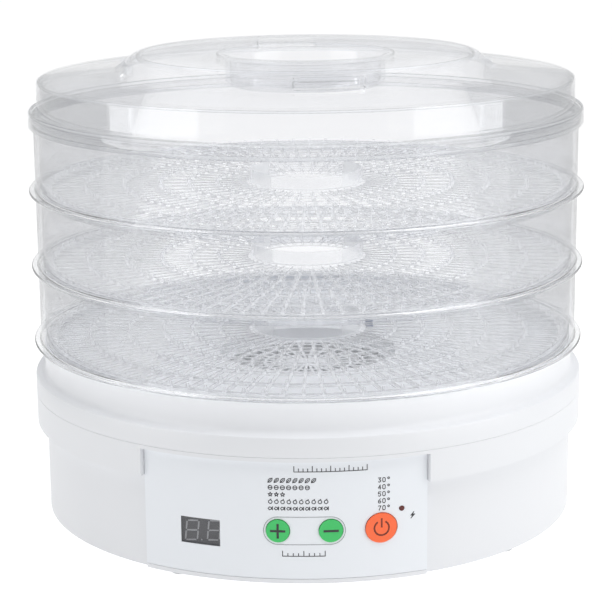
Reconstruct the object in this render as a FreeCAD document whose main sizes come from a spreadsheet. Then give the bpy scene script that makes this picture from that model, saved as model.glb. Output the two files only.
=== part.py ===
import FreeCAD, Part
import math
import os
import sys
from types import SimpleNamespace

import Sketcher

# Food dehydrator: a round base with a fan, a heater and a digital panel, three stacking
# trays and a lid. Millimetres, +Z up. The origin is on the standing surface, on the axis.
# The panel faces -Y. Angles round the axis start at the panel's middle and grow to the
# right of someone who faces it.

SIZES = {
    # the housing, from the standing surface up
    "foot_height": 4.5,
    "body_radius": 154.4,
    "housing_wall": 2.2,
    "body_height": 52.3,
    "collar_overhang": 5.6,
    "lower_band_height": 17.6,
    "upper_band_height": 11.2,
    "neck_height": 18.3,
    "tongue_height": 6.0,
    "seam_gap": 0.2,
    "edge_round": 1.2,
    # the deck under the bottom tray, and the air outlet in it
    "deck_drop": 12.0,
    "outlet_radius": 47.0,
    "outlet_seat": 5.0,
    "outlet_drop": 8.0,
    "guard_thickness": 2.5,
    "guard_hub": 10.0,
    "guard_rib": 2.4,
    "guard_rings": 3,
    "guard_spokes": 12,
    # the columns and screws that clamp the housing together
    "column_radius": 4.6,
    "column_circle": 135.0,
    "column_turn": 45.0,
    "column_split": 28.0,
    "screw_radius": 1.6,
    "screw_head": 3.4,
    "screw_head_height": 2.2,
    "screw_bite": 12.0,
    "screw_web": 5.0,
    "screw_end_gap": 1.0,
    # the bottom cover and the feet
    "cover_gap": 0.6,
    "cover_ledge": 3.2,
    "inlet_start": 57.0,
    "inlet_end": 82.0,
    "inlet_width": 4.0,
    "inlet_rib": 4.0,
    "inlet_rings": 2,
    "inlet_slots": 36,
    "foot_radius": 6.5,
    "foot_circle": 143.0,
    "foot_turn_left": -24.0,
    "foot_turn_right": 54.0,
    "foot_taper": 0.8,
    "foot_stem": 3.0,
    "foot_barb": 3.8,
    "foot_barb_end": 2.2,
    "foot_barb_height": 2.0,
    # the vents low in the wall, at both sides
    "vents_a_side": 5,
    "vent_turn": 90.0,
    "vent_step": 3.6,
    "vent_width": 3.0,
    "vent_height": 12.0,
    "vent_level": 8.0,
    # the trays
    "tray_pitch": 43.6,
    "tray_overhang": 1.9,
    "tray_wall": 3.0,
    "flange_overhang": 5.6,
    "flange_thickness": 1.6,
    "skirt_depth": 4.6,
    "skirt_wall": 1.6,
    "stack_gap": 0.4,
    "tray_floor": 1.8,
    "chimney_radius": 33.0,
    "chimney_wall": 1.6,
    "chimney_height": 9.5,
    "floor_rib": 3.0,
    "floor_rings": 3,
    "floor_slots": 36,
    "floor_slot_width": 4.0,
    # the lid
    "lid_overhang": 4.6,
    "lid_lip": 5.4,
    "lid_lip_gap": 0.5,
    "lid_rim": 3.0,
    "lid_wall": 2.4,
    "lid_side_inset": 0.5,
    "lid_side_height": 17.1,
    "lid_cone_rise": 4.2,
    "lid_step_radius": 110.0,
    "lid_step_rise": 9.1,
    "lid_top_radius": 98.0,
    "well_rim": 50.8,
    "well_rim_fall": 2.4,
    "well_radius": 43.5,
    "well_depth": 16.4,
    "vent_slots": 4,
    "vent_slot_turn": 12.0,
    "vent_slot_lift": 0.4,
    "vent_slot_length": 36.0,
    "vent_slot_height": 4.6,
    # the front panel and what is set in it
    "panel_thickness": 2.4,
    "panel_proud": 2.6,
    "panel_half_turn": 28.7,
    "panel_gap_turn": 0.3,
    "panel_base": 2.7,
    "panel_strip": 2.4,
    "recess_lip": 3.0,
    "recess_lip_turn": 2.0,
    "window_turn": -16.3,
    "window_width": 21.6,
    "window_height": 14.6,
    "window_level": 30.3,
    "window_gap": 0.1,
    "window_setback": 0.3,
    "key_level": 33.8,
    "key_travel": 0.8,
    "key_gap": 0.3,
    "key_proud": 0.8,
    "key_flange": 1.6,
    "key_skin": 2.0,
    "key_stem": 2.2,
    "plus_turn": -0.8,
    "minus_turn": 9.4,
    "power_turn": 19.2,
    "temperature_key_radius": 6.2,
    "power_key_radius": 8.1,
    "lamp_turn": 23.3,
    "lamp_level": 43.3,
    "lamp_radius": 1.4,
    "lamp_foot": 2.1,
    "lamp_gap": 0.1,
    # the control board
    "board_setback": 21.6,
    "board_thickness": 1.6,
    "board_bottom": 11.0,
    "board_top": 56.0,
    "board_side_gap": 6.0,
    "post_radius": 3.0,
    "post_turn": 15.0,
    "post_inset": 4.5,
    "post_bite": 6.0,
    "short_screw_head": 2.8,
    "display_width": 21.0,
    "display_height": 14.4,
    "display_gap": 1.0,
    "switch_side": 6.0,
    "switch_height": 3.6,
    "plunger_radius": 1.7,
    "plunger_rise": 1.8,
    "plunger_seat": 1.6,
    "slide_gap": 0.08,
    "chip_side": 12.0,
    "chip_height": 2.0,
    # the power board
    "power_board_width": 70.0,
    "power_board_depth": 46.0,
    "power_board_centre": 108.0,
    "power_board_lift": 7.4,
    "boss_radius": 3.6,
    "boss_inset": 5.0,
    "power_part_inset": 2.0,
    "relay_width": 19.0,
    "relay_depth": 15.0,
    "relay_height": 15.0,
    "transformer_width": 24.0,
    "transformer_depth": 20.0,
    "transformer_height": 20.0,
    "bobbin_width": 12.0,
    "bobbin_overhang": 2.0,
    "bobbin_inset": 3.0,
    "capacitor_radius": 5.0,
    "capacitor_height": 17.0,
    "terminal_width": 20.0,
    "terminal_depth": 9.0,
    "terminal_height": 11.0,
    "terminal_inset": 1.0,
    # the cord's gland in the rear wall
    "gland_level": 24.0,
    "gland_radius": 6.4,
    "gland_bore": 3.6,
    "gland_flange": 9.0,
    "gland_flange_height": 2.0,
    "gland_tail": 5.0,
    "gland_nut": 8.0,
    "gland_nut_gap": 0.4,
    # the motor, which hangs below the fan and the heater
    "mount_thickness": 1.5,
    "mount_length": 113.0,
    "mount_width": 28.0,
    "mount_hole": 6.0,
    "mount_post_radius": 5.0,
    "mount_post_place": 50.0,
    "stator_height": 20.0,
    "stator_left": 24.0,
    "stator_right": 42.0,
    "stator_half_depth": 26.0,
    "limb_width": 12.0,
    "limb_half_depth": 12.0,
    "coil_build": 4.0,
    "coil_side_gap": 0.5,
    "rotor_radius": 12.5,
    "rotor_inset": 1.0,
    "air_gap": 0.5,
    "bracket_height": 6.0,
    "bracket_width": 14.0,
    "bracket_half_span": 17.0,
    "bracket_sheet": 1.5,
    "bearing_radius": 5.0,
    "bearing_depth": 4.0,
    "shaft_radius": 2.5,
    "shaft_gap": 0.05,
    "shaft_tail": 0.5,
    "motor_screw_radius": 1.5,
    "motor_screw_place": 21.0,
    # the fan, the duct round it and the heater above it
    "fan_lift": 3.0,
    "fan_gap": 6.2,
    "fan_height": 10.0,
    "fan_hub": 13.0,
    "fan_tip_gap": 3.0,
    "fan_blades": 7,
    "blade_width": 20.0,
    "blade_pitch": 28.0,
    "blade_thickness": 1.6,
    "duct_inset": 2.0,
    "duct_sheet": 0.8,
    "duct_flange": 8.0,
    "mica_thickness": 0.8,
    "mica_height": 9.0,
    "mica_end_gap": 0.1,
    "mica_top_gap": 1.0,
    "coil_wire": 1.1,
    "coil_gap": 0.1,
    "coil_rings": 3,
    "coil_first": 18.0,
    "coil_step": 10.0,
    "fuse_radius": 2.0,
    "fuse_length": 8.0,
    "fuse_place": 7.0,
    "thermostat_radius": 8.0,
    "thermostat_depth": 6.0,
    "thermostat_drop": 1.0,
    "sensor_radius": 2.4,
    "sensor_gap": 6.8,
    "sensor_turn": 150.0,
    "sensor_rise": 6.0,
    "sensor_flange": 5.0,
    "sensor_flange_height": 2.0,
}


class Size:
    """A number together with the expression that ties it to the sheet."""

    def __init__(self, number, text):
        self.number = number
        self.text = text

    def __add__(self, other):
        other = as_size(other)
        return Size(self.number + other.number, f"({self.text} + {other.text})")

    def __sub__(self, other):
        other = as_size(other)
        return Size(self.number - other.number, f"({self.text} - {other.text})")

    def __mul__(self, other):
        other = as_size(other)
        return Size(self.number * other.number, f"({self.text} * {other.text})")

    def __truediv__(self, other):
        other = as_size(other)
        return Size(self.number / other.number, f"({self.text} / {other.text})")

    def __neg__(self):
        return Size(-self.number, f"(0 - {self.text})")


def as_size(value):
    if isinstance(value, Size):
        return value
    return Size(float(value), f"({value})")


def size_count(word):
    """A count from the sheet, for the loops that place what repeats."""
    return int(SIZES[word])


def sine(angle):
    return Size(math.sin(math.radians(angle.number)), f"sin({angle.text})")


def cosine(angle):
    return Size(math.cos(math.radians(angle.number)), f"cos({angle.text})")


def other_leg(longest, leg):
    """The third side of a right-angled triangle: a chord's distance from the axis."""
    number = math.sqrt(longest.number**2 - leg.number**2)
    return Size(number, f"sqrt({longest.text}^2 - {leg.text}^2)")


doc = FreeCAD.newDocument("food_dehydrator")
sheet = doc.addObject("Spreadsheet::Sheet", "sizes")
for row, (word, number) in enumerate(SIZES.items(), start=1):
    sheet.set(f"A{row}", word)
    sheet.set(f"B{row}", str(number))
    sheet.setAlias(f"B{row}", word)
doc.recompute()

size = SimpleNamespace(**{word: Size(number, f"sizes.{word}") for word, number in SIZES.items()})
ZERO = as_size(0)
OVERRUN = as_size(1)  # how far a cutting shape runs past what it cuts
nodes = []


# ---------------------------------------------------------------- drawing and shaping


def bind(thing, **places):
    """Tie properties to sizes; a double underscore in a name stands for a dot."""
    for name, value in places.items():
        thing.setExpression(name.replace("__", "."), as_size(value).text)


def node(thing, name):
    """Name a finished sub-part and put it on the list that is written out."""
    thing.Label = name
    nodes.append(thing)
    return thing


def place(thing, x=ZERO, y=ZERO, z=ZERO, axis=(0, 0, 1), turn=ZERO):
    turn = as_size(turn)
    spot = FreeCAD.Vector(as_size(x).number, as_size(y).number, as_size(z).number)
    spin = FreeCAD.Rotation(FreeCAD.Vector(*axis), turn.number)
    thing.Placement = FreeCAD.Placement(spot, spin)
    bind(thing, Placement__Base__x=x, Placement__Base__y=y, Placement__Base__z=z)
    bind(thing, Placement__Rotation__Angle=turn)
    return thing


def round_spot(circle, turn):
    """The x and y of a place on a circle, from its angle to the panel's middle."""
    return circle * sine(turn), -circle * cosine(turn)


def rod(name, radius, bottom, top, x=ZERO, y=ZERO):
    thing = doc.addObject("Part::Cylinder", name)
    bind(thing, Radius=radius, Height=as_size(top) - bottom)
    return place(thing, x, y, bottom)


def level_rod(name, radius, front, back, x=ZERO, z=ZERO):
    """A cylinder along Y, from its front end's y to its back end's y."""
    thing = doc.addObject("Part::Cylinder", name)
    bind(thing, Radius=radius, Height=as_size(back) - front)
    return place(thing, x, back, z, axis=(1, 0, 0), turn=90)


def block(name, low, high):
    thing = doc.addObject("Part::Box", name)
    spans = [as_size(b) - a for a, b in zip(low, high)]
    bind(thing, Length=spans[0], Width=spans[1], Height=spans[2])
    return place(thing, *low)


def radial_block(name, turn, start, end, width, low, top):
    """A block that runs out along the radius at an angle to the panel's middle."""
    thing = doc.addObject("Part::Box", name)
    bind(thing, Length=width, Width=end - start, Height=top - low)
    half = width / 2
    x = start * sine(turn) + half * cosine(turn)
    y = half * sine(turn) - start * cosine(turn)
    return place(thing, x, y, low, turn=turn + 180)


def fuse(name, *things):
    thing = doc.addObject("Part::MultiFuse", name)
    thing.Shapes = list(things)
    return thing


def common(name, *things):
    thing = doc.addObject("Part::MultiCommon", name)
    thing.Shapes = list(things)
    return thing


def group(name, things):
    thing = doc.addObject("Part::Compound", name)
    thing.Links = list(things)
    return thing


def cut(name, base, *tools):
    thing = doc.addObject("Part::Cut", name)
    thing.Base = base
    thing.Tool = tools[0] if len(tools) == 1 else fuse(name + "_tools", *tools)
    return thing


def round_shell(name, inner, outer, bottom, top):
    """A hollow cylinder round the main axis."""
    return cut(name, rod(name + "_out", outer, bottom, top), rod(name + "_in", inner, bottom, top))


def new_sketch(body, plane, lift=None):
    sketch = body.newObject("Sketcher::SketchObject", body.Name + "_sketch")
    face = next(part for part in body.Origin.OriginFeatures if part.Role == plane)
    sketch.AttachmentSupport = [(face, "")]
    sketch.MapMode = "FlatFace"
    if lift is not None:
        bind(sketch, AttachmentOffset__Base__z=lift)
    return sketch


def draw_outline(sketch, corners):
    """A closed outline of straight lines, each corner held by its two dimensions."""
    first = sketch.GeometryCount
    spots = [FreeCAD.Vector(as_size(u).number, as_size(v).number, 0) for u, v in corners]
    for here, there in zip(spots, spots[1:] + spots[:1]):
        sketch.addGeometry(Part.LineSegment(here, there), False)
    count = len(corners)
    for index in range(count):
        following = first + (index + 1) % count
        sketch.addConstraint(Sketcher.Constraint("Coincident", first + index, 2, following, 1))
    for index, corner in enumerate(corners):
        for kind, value in zip(("DistanceX", "DistanceY"), corner):
            value = as_size(value)
            held = Sketcher.Constraint(kind, -1, 1, first + index, 1, value.number)
            number = sketch.addConstraint(held)
            sketch.setExpression(f"Constraints[{number}]", value.text)


def turned(name, outline, half_turn=None):
    """A body made by turning an outline of (radius, height) corners round the axis."""
    body = doc.addObject("PartDesign::Body", name)
    if half_turn is None:
        sketch = new_sketch(body, "XZ_Plane")
        draw_outline(sketch, outline)
    else:
        sketch = new_sketch(body, "YZ_Plane")
        draw_outline(sketch, [(-as_size(radius), height) for radius, height in outline])
    feature = body.newObject("PartDesign::Revolution", name + "_turn")
    feature.Profile = sketch
    feature.ReferenceAxis = (sketch, ["V_Axis"])
    if half_turn is None:
        feature.Angle = 360
    else:
        feature.Midplane = True
        bind(feature, Angle=half_turn * 2)
    doc.recompute()
    return body


def turn_away(body, outline, half_turn):
    """Cut an outline, turned through an arc about the panel's middle, out of a body."""
    before = body.Shape.Volume
    sketch = new_sketch(body, "YZ_Plane")
    draw_outline(sketch, [(-as_size(radius), height) for radius, height in outline])
    feature = body.newObject("PartDesign::Groove", body.Name + "_groove")
    feature.Profile = sketch
    feature.ReferenceAxis = (sketch, ["V_Axis"])
    feature.Midplane = True
    bind(feature, Angle=half_turn * 2)
    doc.recompute()
    check_smaller(body, before)


def turn_on(body, outline, half_turn):
    """Add an outline, turned through an arc about the panel's middle, to a body."""
    sketch = new_sketch(body, "YZ_Plane")
    draw_outline(sketch, [(-as_size(radius), height) for radius, height in outline])
    feature = body.newObject("PartDesign::Revolution", body.Name + "_addition")
    feature.Profile = sketch
    feature.ReferenceAxis = (sketch, ["V_Axis"])
    feature.Midplane = True
    bind(feature, Angle=half_turn * 2)
    doc.recompute()


def cut_through(body, plane, outlines, repeats=None):
    """Pocket outlines right through a body, and repeat them round the axis."""
    before = body.Shape.Volume
    sketch = new_sketch(body, plane)
    for outline in outlines:
        draw_outline(sketch, outline)
    pocket = body.newObject("PartDesign::Pocket", body.Name + "_pocket")
    pocket.Profile = sketch
    pocket.Type = "ThroughAll"
    pocket.SideType = "Symmetric"
    doc.recompute()
    if repeats is not None:
        pattern = body.newObject("PartDesign::PolarPattern", body.Name + "_pattern")
        pattern.Originals = [pocket]
        pattern.Axis = (sketch, ["N_Axis"])
        pattern.Angle = 360
        bind(pattern, Occurrences=repeats)
        body.Tip = pattern
        doc.recompute()
    check_smaller(body, before)


def check_smaller(body, before):
    if body.Shape.Volume >= before - 1:
        sys.exit(f"{body.Name}: a cut took nothing away")


def round_rings(body, radius, *rings):
    """Fillet the full circles of a body that lie at the given (radius, height) places."""
    tip = body.Tip
    names = []
    for number, edge in enumerate(tip.Shape.Edges, start=1):
        if not isinstance(edge.Curve, Part.Circle):
            continue
        for ring_radius, level in rings:
            same_radius = abs(edge.Curve.Radius - as_size(ring_radius).number) < 0.01
            same_level = abs(edge.Curve.Center.z - as_size(level).number) < 0.01
            if same_radius and same_level:
                names.append(f"Edge{number}")
    if not names:
        sys.exit(f"{body.Name}: no edge to round")
    feature = body.newObject("PartDesign::Fillet", body.Name + "_rounding")
    feature.Base = (tip, names)
    bind(feature, Radius=radius)
    doc.recompute()


def ring_slots(start, end, rings, rib, spokes):
    """Openings between rings and spokes: straight-sided, one for each ring gap."""
    pitch = (end - start) / getattr(size, rings)
    slope = Size(math.tan(math.radians(180 / spokes.number)), f"tan(180 / {spokes.text})")
    slots = []
    for index in range(size_count(rings)):
        inner = start + pitch * index + rib / 2
        outer = start + pitch * (index + 1) - rib / 2
        inner_half = inner * slope - rib / 2
        outer_half = outer * slope - rib / 2
        slots.append(
            [(inner, -inner_half), (outer, -outer_half), (outer, outer_half), (inner, inner_half)]
        )
    return slots


def straight_slots(start, end, rings, rib, width):
    """Openings of one width along the radius, one in each ring, with a rib between rings."""
    pitch = (end - start + rib) / getattr(size, rings)
    half = width / 2
    slots = []
    for index in range(size_count(rings)):
        inner = start + pitch * index
        outer = inner + pitch - rib
        slots.append([(inner, -half), (outer, -half), (outer, half), (inner, half)])
    return slots


# ---------------------------------------------------------------- levels and radii

bottom = size.foot_height
collar_bottom = bottom + size.body_height
seam = collar_bottom + size.lower_band_height
collar_top = seam + size.upper_band_height
neck_top = collar_top + size.neck_height
deck_top = neck_top - size.deck_drop
deck_bottom = deck_top - size.housing_wall
cover_top = bottom + size.housing_wall
screw_end = cover_top + size.screw_end_gap

collar_radius = size.body_radius + size.collar_overhang
body_inside = size.body_radius - size.housing_wall
collar_inside = collar_radius - size.housing_wall

outlet_seat_radius = size.outlet_radius + size.outlet_seat
outlet_ledge_top = deck_top - size.outlet_drop - size.guard_thickness
outlet_ledge_bottom = outlet_ledge_top - size.housing_wall
outlet_wall = outlet_seat_radius + size.housing_wall
sensor_circle = outlet_wall + size.sensor_flange + size.sensor_gap

column_turns = [size.column_turn + 90 * index for index in range(4)]
column_spots = [round_spot(size.column_circle, turn) for turn in column_turns]
foot_turns = {
    "front_left": size.foot_turn_left,
    "front_right": size.foot_turn_right,
    "rear_right": size.foot_turn_left + 180,
    "rear_left": size.foot_turn_right + 180,
}

# the front panel, and the places of what it holds
panel_outside = size.body_radius + size.panel_proud
panel_inside = panel_outside - size.panel_thickness
panel_bottom = bottom + size.panel_base
panel_top = seam - size.panel_strip
window_x, window_y = round_spot(panel_outside, size.window_turn)
lamp_x, lamp_y = round_spot(panel_outside, size.lamp_turn)
KEYS = {
    "plus": (size.plus_turn, size.temperature_key_radius),
    "minus": (size.minus_turn, size.temperature_key_radius),
    "power": (size.power_turn, size.power_key_radius),
}
board_front = -(panel_inside - size.board_setback)
board_back = board_front + size.board_thickness

# the heater, the fan and the motor, from the outlet down
duct_inside = size.outlet_radius + size.duct_inset
duct_outside = duct_inside + size.duct_sheet
mica_top = outlet_ledge_bottom - size.mica_top_gap
mica_bottom = mica_top - size.mica_height
fan_top = mica_bottom - size.fan_gap
fan_bottom = fan_top - size.fan_height
motor_top = fan_bottom - size.fan_lift
stator_top = motor_top - size.bracket_height
stator_bottom = stator_top - size.stator_height
mount_top = stator_bottom - size.bracket_height
mount_bottom = mount_top - size.mount_thickness


# ---------------------------------------------------------------- the housing


def make_upper_housing():
    """The neck that carries the trays, the shoulder, the collar's upper band and the deck."""
    shell = turned(
        "upper_shell",
        [
            (size.body_radius, neck_top),
            (size.body_radius, collar_top),
            (collar_radius, collar_top),
            (collar_radius, seam),
            (collar_inside, seam),
            (collar_inside, collar_top - size.housing_wall),
            (body_inside, collar_top - size.housing_wall),
            (body_inside, deck_bottom),
            (outlet_wall, deck_bottom),
            (outlet_wall, outlet_ledge_bottom),
            (size.outlet_radius, outlet_ledge_bottom),
            (size.outlet_radius, outlet_ledge_top),
            (outlet_seat_radius, outlet_ledge_top),
            (outlet_seat_radius, deck_top),
            (body_inside, deck_top),
            (body_inside, neck_top),
        ],
    )
    round_rings(shell, size.edge_round, (collar_radius, collar_top))
    columns = []
    bores = []
    for index, (x, y) in enumerate(column_spots):
        columns.append(rod(f"upper_column_{index}", size.column_radius, size.column_split,
                           deck_bottom, x, y))
        bite = size.column_split + size.screw_bite
        bores.append(rod(f"upper_bore_{index}", size.screw_radius, size.column_split, bite, x, y))
    sensor_x, sensor_y = round_spot(sensor_circle, size.sensor_turn)
    sensor_hole = rod("sensor_hole", size.sensor_radius, deck_bottom, deck_top, sensor_x, sensor_y)
    whole = fuse("upper_whole", shell, *columns)
    node(cut("upper_housing_solid", whole, sensor_hole, *bores), "upper_housing")


def make_lower_housing():
    """The body wall, the collar's lower band with its tongue, and the panel's recess."""
    tongue_outside = collar_inside - size.seam_gap
    tongue_inside = tongue_outside - size.housing_wall
    ledge_radius = body_inside - size.cover_ledge
    shelf_top = collar_bottom + size.housing_wall
    shell = turned(
        "lower_shell",
        [
            (size.body_radius, bottom),
            (size.body_radius, collar_bottom),
            (collar_radius, collar_bottom),
            (collar_radius, seam),
            (tongue_outside, seam),
            (tongue_outside, seam + size.tongue_height),
            (tongue_inside, seam + size.tongue_height),
            (tongue_inside, shelf_top),
            (body_inside, shelf_top),
            (body_inside, cover_top + size.housing_wall),
            (ledge_radius, cover_top + size.housing_wall),
            (ledge_radius, cover_top),
            (body_inside, cover_top),
            (body_inside, bottom),
        ],
    )
    round_rings(shell, size.edge_round, (size.body_radius, bottom))
    recess_half = size.panel_half_turn + size.panel_gap_turn
    recess_top = panel_top + size.seam_gap
    recess_bottom = panel_bottom + size.recess_lip
    turn_away(
        shell,
        [
            (size.body_radius, collar_bottom - OVERRUN),
            (collar_radius + OVERRUN, collar_bottom - OVERRUN),
            (collar_radius + OVERRUN, recess_top),
            (size.body_radius, recess_top),
        ],
        recess_half,
    )
    turn_away(
        shell,
        [
            (ledge_radius, recess_bottom),
            (collar_inside, recess_bottom),
            (collar_inside, recess_top),
            (ledge_radius, recess_top),
        ],
        recess_half - size.recess_lip_turn,
    )
    turn_on(
        shell,
        [
            (size.body_radius - OVERRUN, bottom),
            (panel_outside, bottom),
            (panel_outside, panel_bottom - size.seam_gap),
            (size.body_radius - OVERRUN, panel_bottom - size.seam_gap),
        ],
        size.panel_half_turn,
    )
    gland_hole = level_rod("gland_hole", size.gland_radius, ledge_radius,
                           size.body_radius + OVERRUN, ZERO, size.gland_level)
    vents = []
    vent_bottom = bottom + size.vent_level
    for side in (1, -1):
        for index in range(size_count("vents_a_side")):
            turn = (size.vent_turn + size.vent_step * index) * side
            vents.append(radial_block("vent", turn, ledge_radius, size.body_radius + OVERRUN,
                                      size.vent_width, vent_bottom, vent_bottom + size.vent_height))
    node(cut("lower_housing_solid", shell, gland_hole, *vents), "lower_housing")


def make_bottom_cover():
    """A disc with the air inlet slots, the screw columns and the posts of what it carries."""
    cover_radius = body_inside - size.cover_gap
    disc = turned(
        "cover_disc",
        [(ZERO, bottom), (cover_radius, bottom), (cover_radius, cover_top), (ZERO, cover_top)],
    )
    slots = straight_slots(size.inlet_start, size.inlet_end, "inlet_rings", size.inlet_rib,
                           size.inlet_width)
    cut_through(disc, "XY_Plane", slots, size.inlet_slots)
    added = []
    taken = []
    for index, (x, y) in enumerate(column_spots):
        added.append(rod(f"cover_column_{index}", size.column_radius, cover_top,
                         size.column_split, x, y))
        taken.append(rod(f"cover_bore_{index}", size.screw_radius, bottom, size.column_split, x, y))
        well_top = size.column_split - size.screw_web
        taken.append(rod(f"cover_well_{index}", size.screw_head, bottom, well_top, x, y))
    for side in (1, -1):
        x = size.mount_post_place * side
        added.append(rod(f"mount_post_{side}", size.mount_post_radius, cover_top, mount_bottom, x))
        taken.append(rod(f"mount_bore_{side}", size.motor_screw_radius, cover_top, mount_bottom, x))
    for x, y in power_board_corners():
        top = cover_top + size.power_board_lift
        added.append(rod("board_boss", size.boss_radius, cover_top, top, x, y))
        taken.append(rod("board_bore", size.screw_radius, cover_top, top, x, y))
    for turn in foot_turns.values():
        x, y = round_spot(size.foot_circle, turn)
        taken.append(rod("foot_hole", size.foot_stem, bottom, cover_top, x, y))
    node(cut("bottom_cover_solid", fuse("cover_whole", disc, *added), *taken), "bottom_cover")


def make_feet():
    """Rubber feet, each held by a stem with a barb through the bottom cover."""
    for name, turn in foot_turns.items():
        x, y = round_spot(size.foot_circle, turn)
        pad = doc.addObject("Part::Cone", f"foot_pad_{name}")
        bind(pad, Radius1=size.foot_radius - size.foot_taper, Radius2=size.foot_radius, Height=bottom)
        place(pad, x, y)
        stem = rod(f"foot_stem_{name}", size.foot_stem, bottom, cover_top + size.seam_gap, x, y)
        barb = doc.addObject("Part::Cone", f"foot_barb_{name}")
        bind(barb, Radius1=size.foot_barb, Radius2=size.foot_barb_end,
             Height=size.foot_barb_height)
        place(barb, x, y, cover_top + size.seam_gap)
        node(fuse(f"foot_solid_{name}", pad, stem, barb), f"foot_{name}")


def make_housing_screws():
    """Long screws from below, through the cover's columns into the upper housing's."""
    screws = []
    for index, (x, y) in enumerate(column_spots):
        seat = size.column_split - size.screw_web
        head = rod(f"long_screw_head_{index}", size.screw_head - size.seam_gap,
                   seat - size.screw_head_height, seat, x, y)
        shank = rod(f"long_screw_shank_{index}", size.screw_radius, seat,
                    size.column_split + size.screw_bite, x, y)
        screws.append(fuse(f"long_screw_{index}", head, shank))
    node(group("housing_screw_group", screws), "housing_screws")


def make_outlet_guard():
    """The moulded grille over the air outlet, on its ledge in the deck."""
    guard_radius = outlet_seat_radius - size.seam_gap
    guard_top = outlet_ledge_top + size.guard_thickness
    guard = turned(
        "guard",
        [(ZERO, outlet_ledge_top), (guard_radius, outlet_ledge_top), (guard_radius, guard_top),
         (ZERO, guard_top)],
    )
    slots = ring_slots(size.guard_hub, size.outlet_radius, "guard_rings", size.guard_rib,
                       size.guard_spokes)
    cut_through(guard, "XY_Plane", slots, size.guard_spokes)
    node(guard, "outlet_guard")


# ---------------------------------------------------------------- the front panel


def make_front_panel():
    """The curved plate, open for the window, the keys and the lamp, with four board posts."""
    plate = turned(
        "panel_plate",
        [
            (panel_inside, panel_bottom),
            (panel_outside, panel_bottom),
            (panel_outside, panel_top),
            (panel_inside, panel_top),
        ],
        size.panel_half_turn,
    )
    half_width = size.window_width / 2
    half_height = size.window_height / 2
    cut_through(
        plate,
        "XZ_Plane",
        [[
            (window_x - half_width, size.window_level - half_height),
            (window_x + half_width, size.window_level - half_height),
            (window_x + half_width, size.window_level + half_height),
            (window_x - half_width, size.window_level + half_height),
        ]],
    )
    holes = []
    front = -(panel_outside + OVERRUN)
    for name, (turn, radius) in KEYS.items():
        x, _ = round_spot(panel_outside, turn)
        holes.append(level_rod(f"{name}_hole", radius + size.key_gap, front, board_front,
                               x, size.key_level))
    holes.append(level_rod("lamp_hole", size.lamp_radius + size.lamp_gap, front, board_front,
                           lamp_x, size.lamp_level))
    holed = cut("panel_holed", plate, *holes)
    posts = []
    bores = []
    for index, (x, z) in enumerate(board_corners()):
        posts.append(level_rod(f"post_{index}", size.post_radius, front, board_front, x, z))
        bores.append(level_rod(f"post_bore_{index}", size.screw_radius,
                               board_front - size.post_bite, board_front, x, z))
    limit = rod("post_limit", panel_inside + size.panel_thickness / 2, bottom, panel_top)
    trimmed = common("posts_trimmed", fuse("posts", *posts), limit)
    node(cut("front_panel_solid", fuse("panel_whole", holed, trimmed), *bores), "front_panel")


def board_corners():
    """Where the control board's four screws stand."""
    spots = []
    for side in (-1, 1):
        x, _ = round_spot(panel_outside, size.post_turn * side)
        for z in (size.board_bottom + size.post_inset, size.board_top - size.post_inset):
            spots.append((x, z))
    return spots


def make_display():
    """The dark window pane, and the two-digit module on the control board behind it."""
    half_width = size.window_width / 2 - size.window_gap
    half_height = size.window_height / 2 - size.window_gap
    beam = block(
        "window_beam",
        (window_x - half_width, -(panel_outside + OVERRUN), size.window_level - half_height),
        (window_x + half_width, board_front, size.window_level + half_height),
    )
    skin = round_shell("window_skin", panel_inside, panel_outside - size.window_setback,
                       bottom, panel_top)
    node(common("window_pane", beam, skin), "display_window")
    module_half = size.display_width / 2
    far_corner = panel_inside - size.display_gap
    module_front = other_leg(far_corner, -(window_x - module_half))
    node(
        block(
            "module_block",
            (window_x - module_half, -module_front, size.window_level - size.display_height / 2),
            (window_x + module_half, board_front, size.window_level + size.display_height / 2),
        ),
        "display_module",
    )


def make_keys():
    """Each key: a curved cap, a flange behind the panel and a stem on its switch's plunger."""
    front = -(panel_outside + size.key_proud + OVERRUN)
    flange_top = panel_inside - size.key_gap
    flange_bottom = flange_top - size.key_skin
    plunger_front = board_front - size.switch_height - size.plunger_rise
    for name, (turn, radius) in KEYS.items():
        x, _ = round_spot(panel_outside, turn)
        z = size.key_level
        top = panel_top
        cap = common(
            f"{name}_cap",
            level_rod(f"{name}_cap_rod", radius, front, board_front, x, z),
            round_shell(f"{name}_cap_skin", flange_bottom, panel_outside + size.key_proud, bottom, top),
        )
        flange = common(
            f"{name}_flange",
            level_rod(f"{name}_flange_rod", radius + size.key_flange, front, board_front, x, z),
            round_shell(f"{name}_flange_skin", flange_bottom, flange_top, bottom, top),
        )
        stem = common(
            f"{name}_stem",
            level_rod(f"{name}_stem_rod", size.key_stem, front, plunger_front, x, z),
            rod(f"{name}_stem_limit", flange_bottom + size.key_skin / 2, bottom, top),
        )
        node(fuse(f"{name}_key", cap, flange, stem), f"{name}_button")
        node(
            level_rod(f"{name}_plunger_rod", size.plunger_radius, plunger_front,
                      board_front - size.switch_height + size.plunger_seat, x, z),
            f"{name}_plunger",
        )


def make_switches():
    """Three square tact switches on the control board, each with a well for its plunger."""
    switches = []
    half = size.switch_side / 2
    for name, (turn, _) in KEYS.items():
        x, _ = round_spot(panel_outside, turn)
        case = block(
            f"{name}_case",
            (x - half, board_front - size.switch_height, size.key_level - half),
            (x + half, board_front, size.key_level + half),
        )
        well = level_rod(
            f"{name}_well",
            size.plunger_radius + size.slide_gap,
            board_front - size.switch_height,
            board_front - size.switch_height + size.plunger_seat + size.key_travel + size.slide_gap,
            x,
            size.key_level,
        )
        switches.append(cut(f"{name}_switch", case, well))
    node(group("switch_group", switches), "tact_switches")


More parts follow.
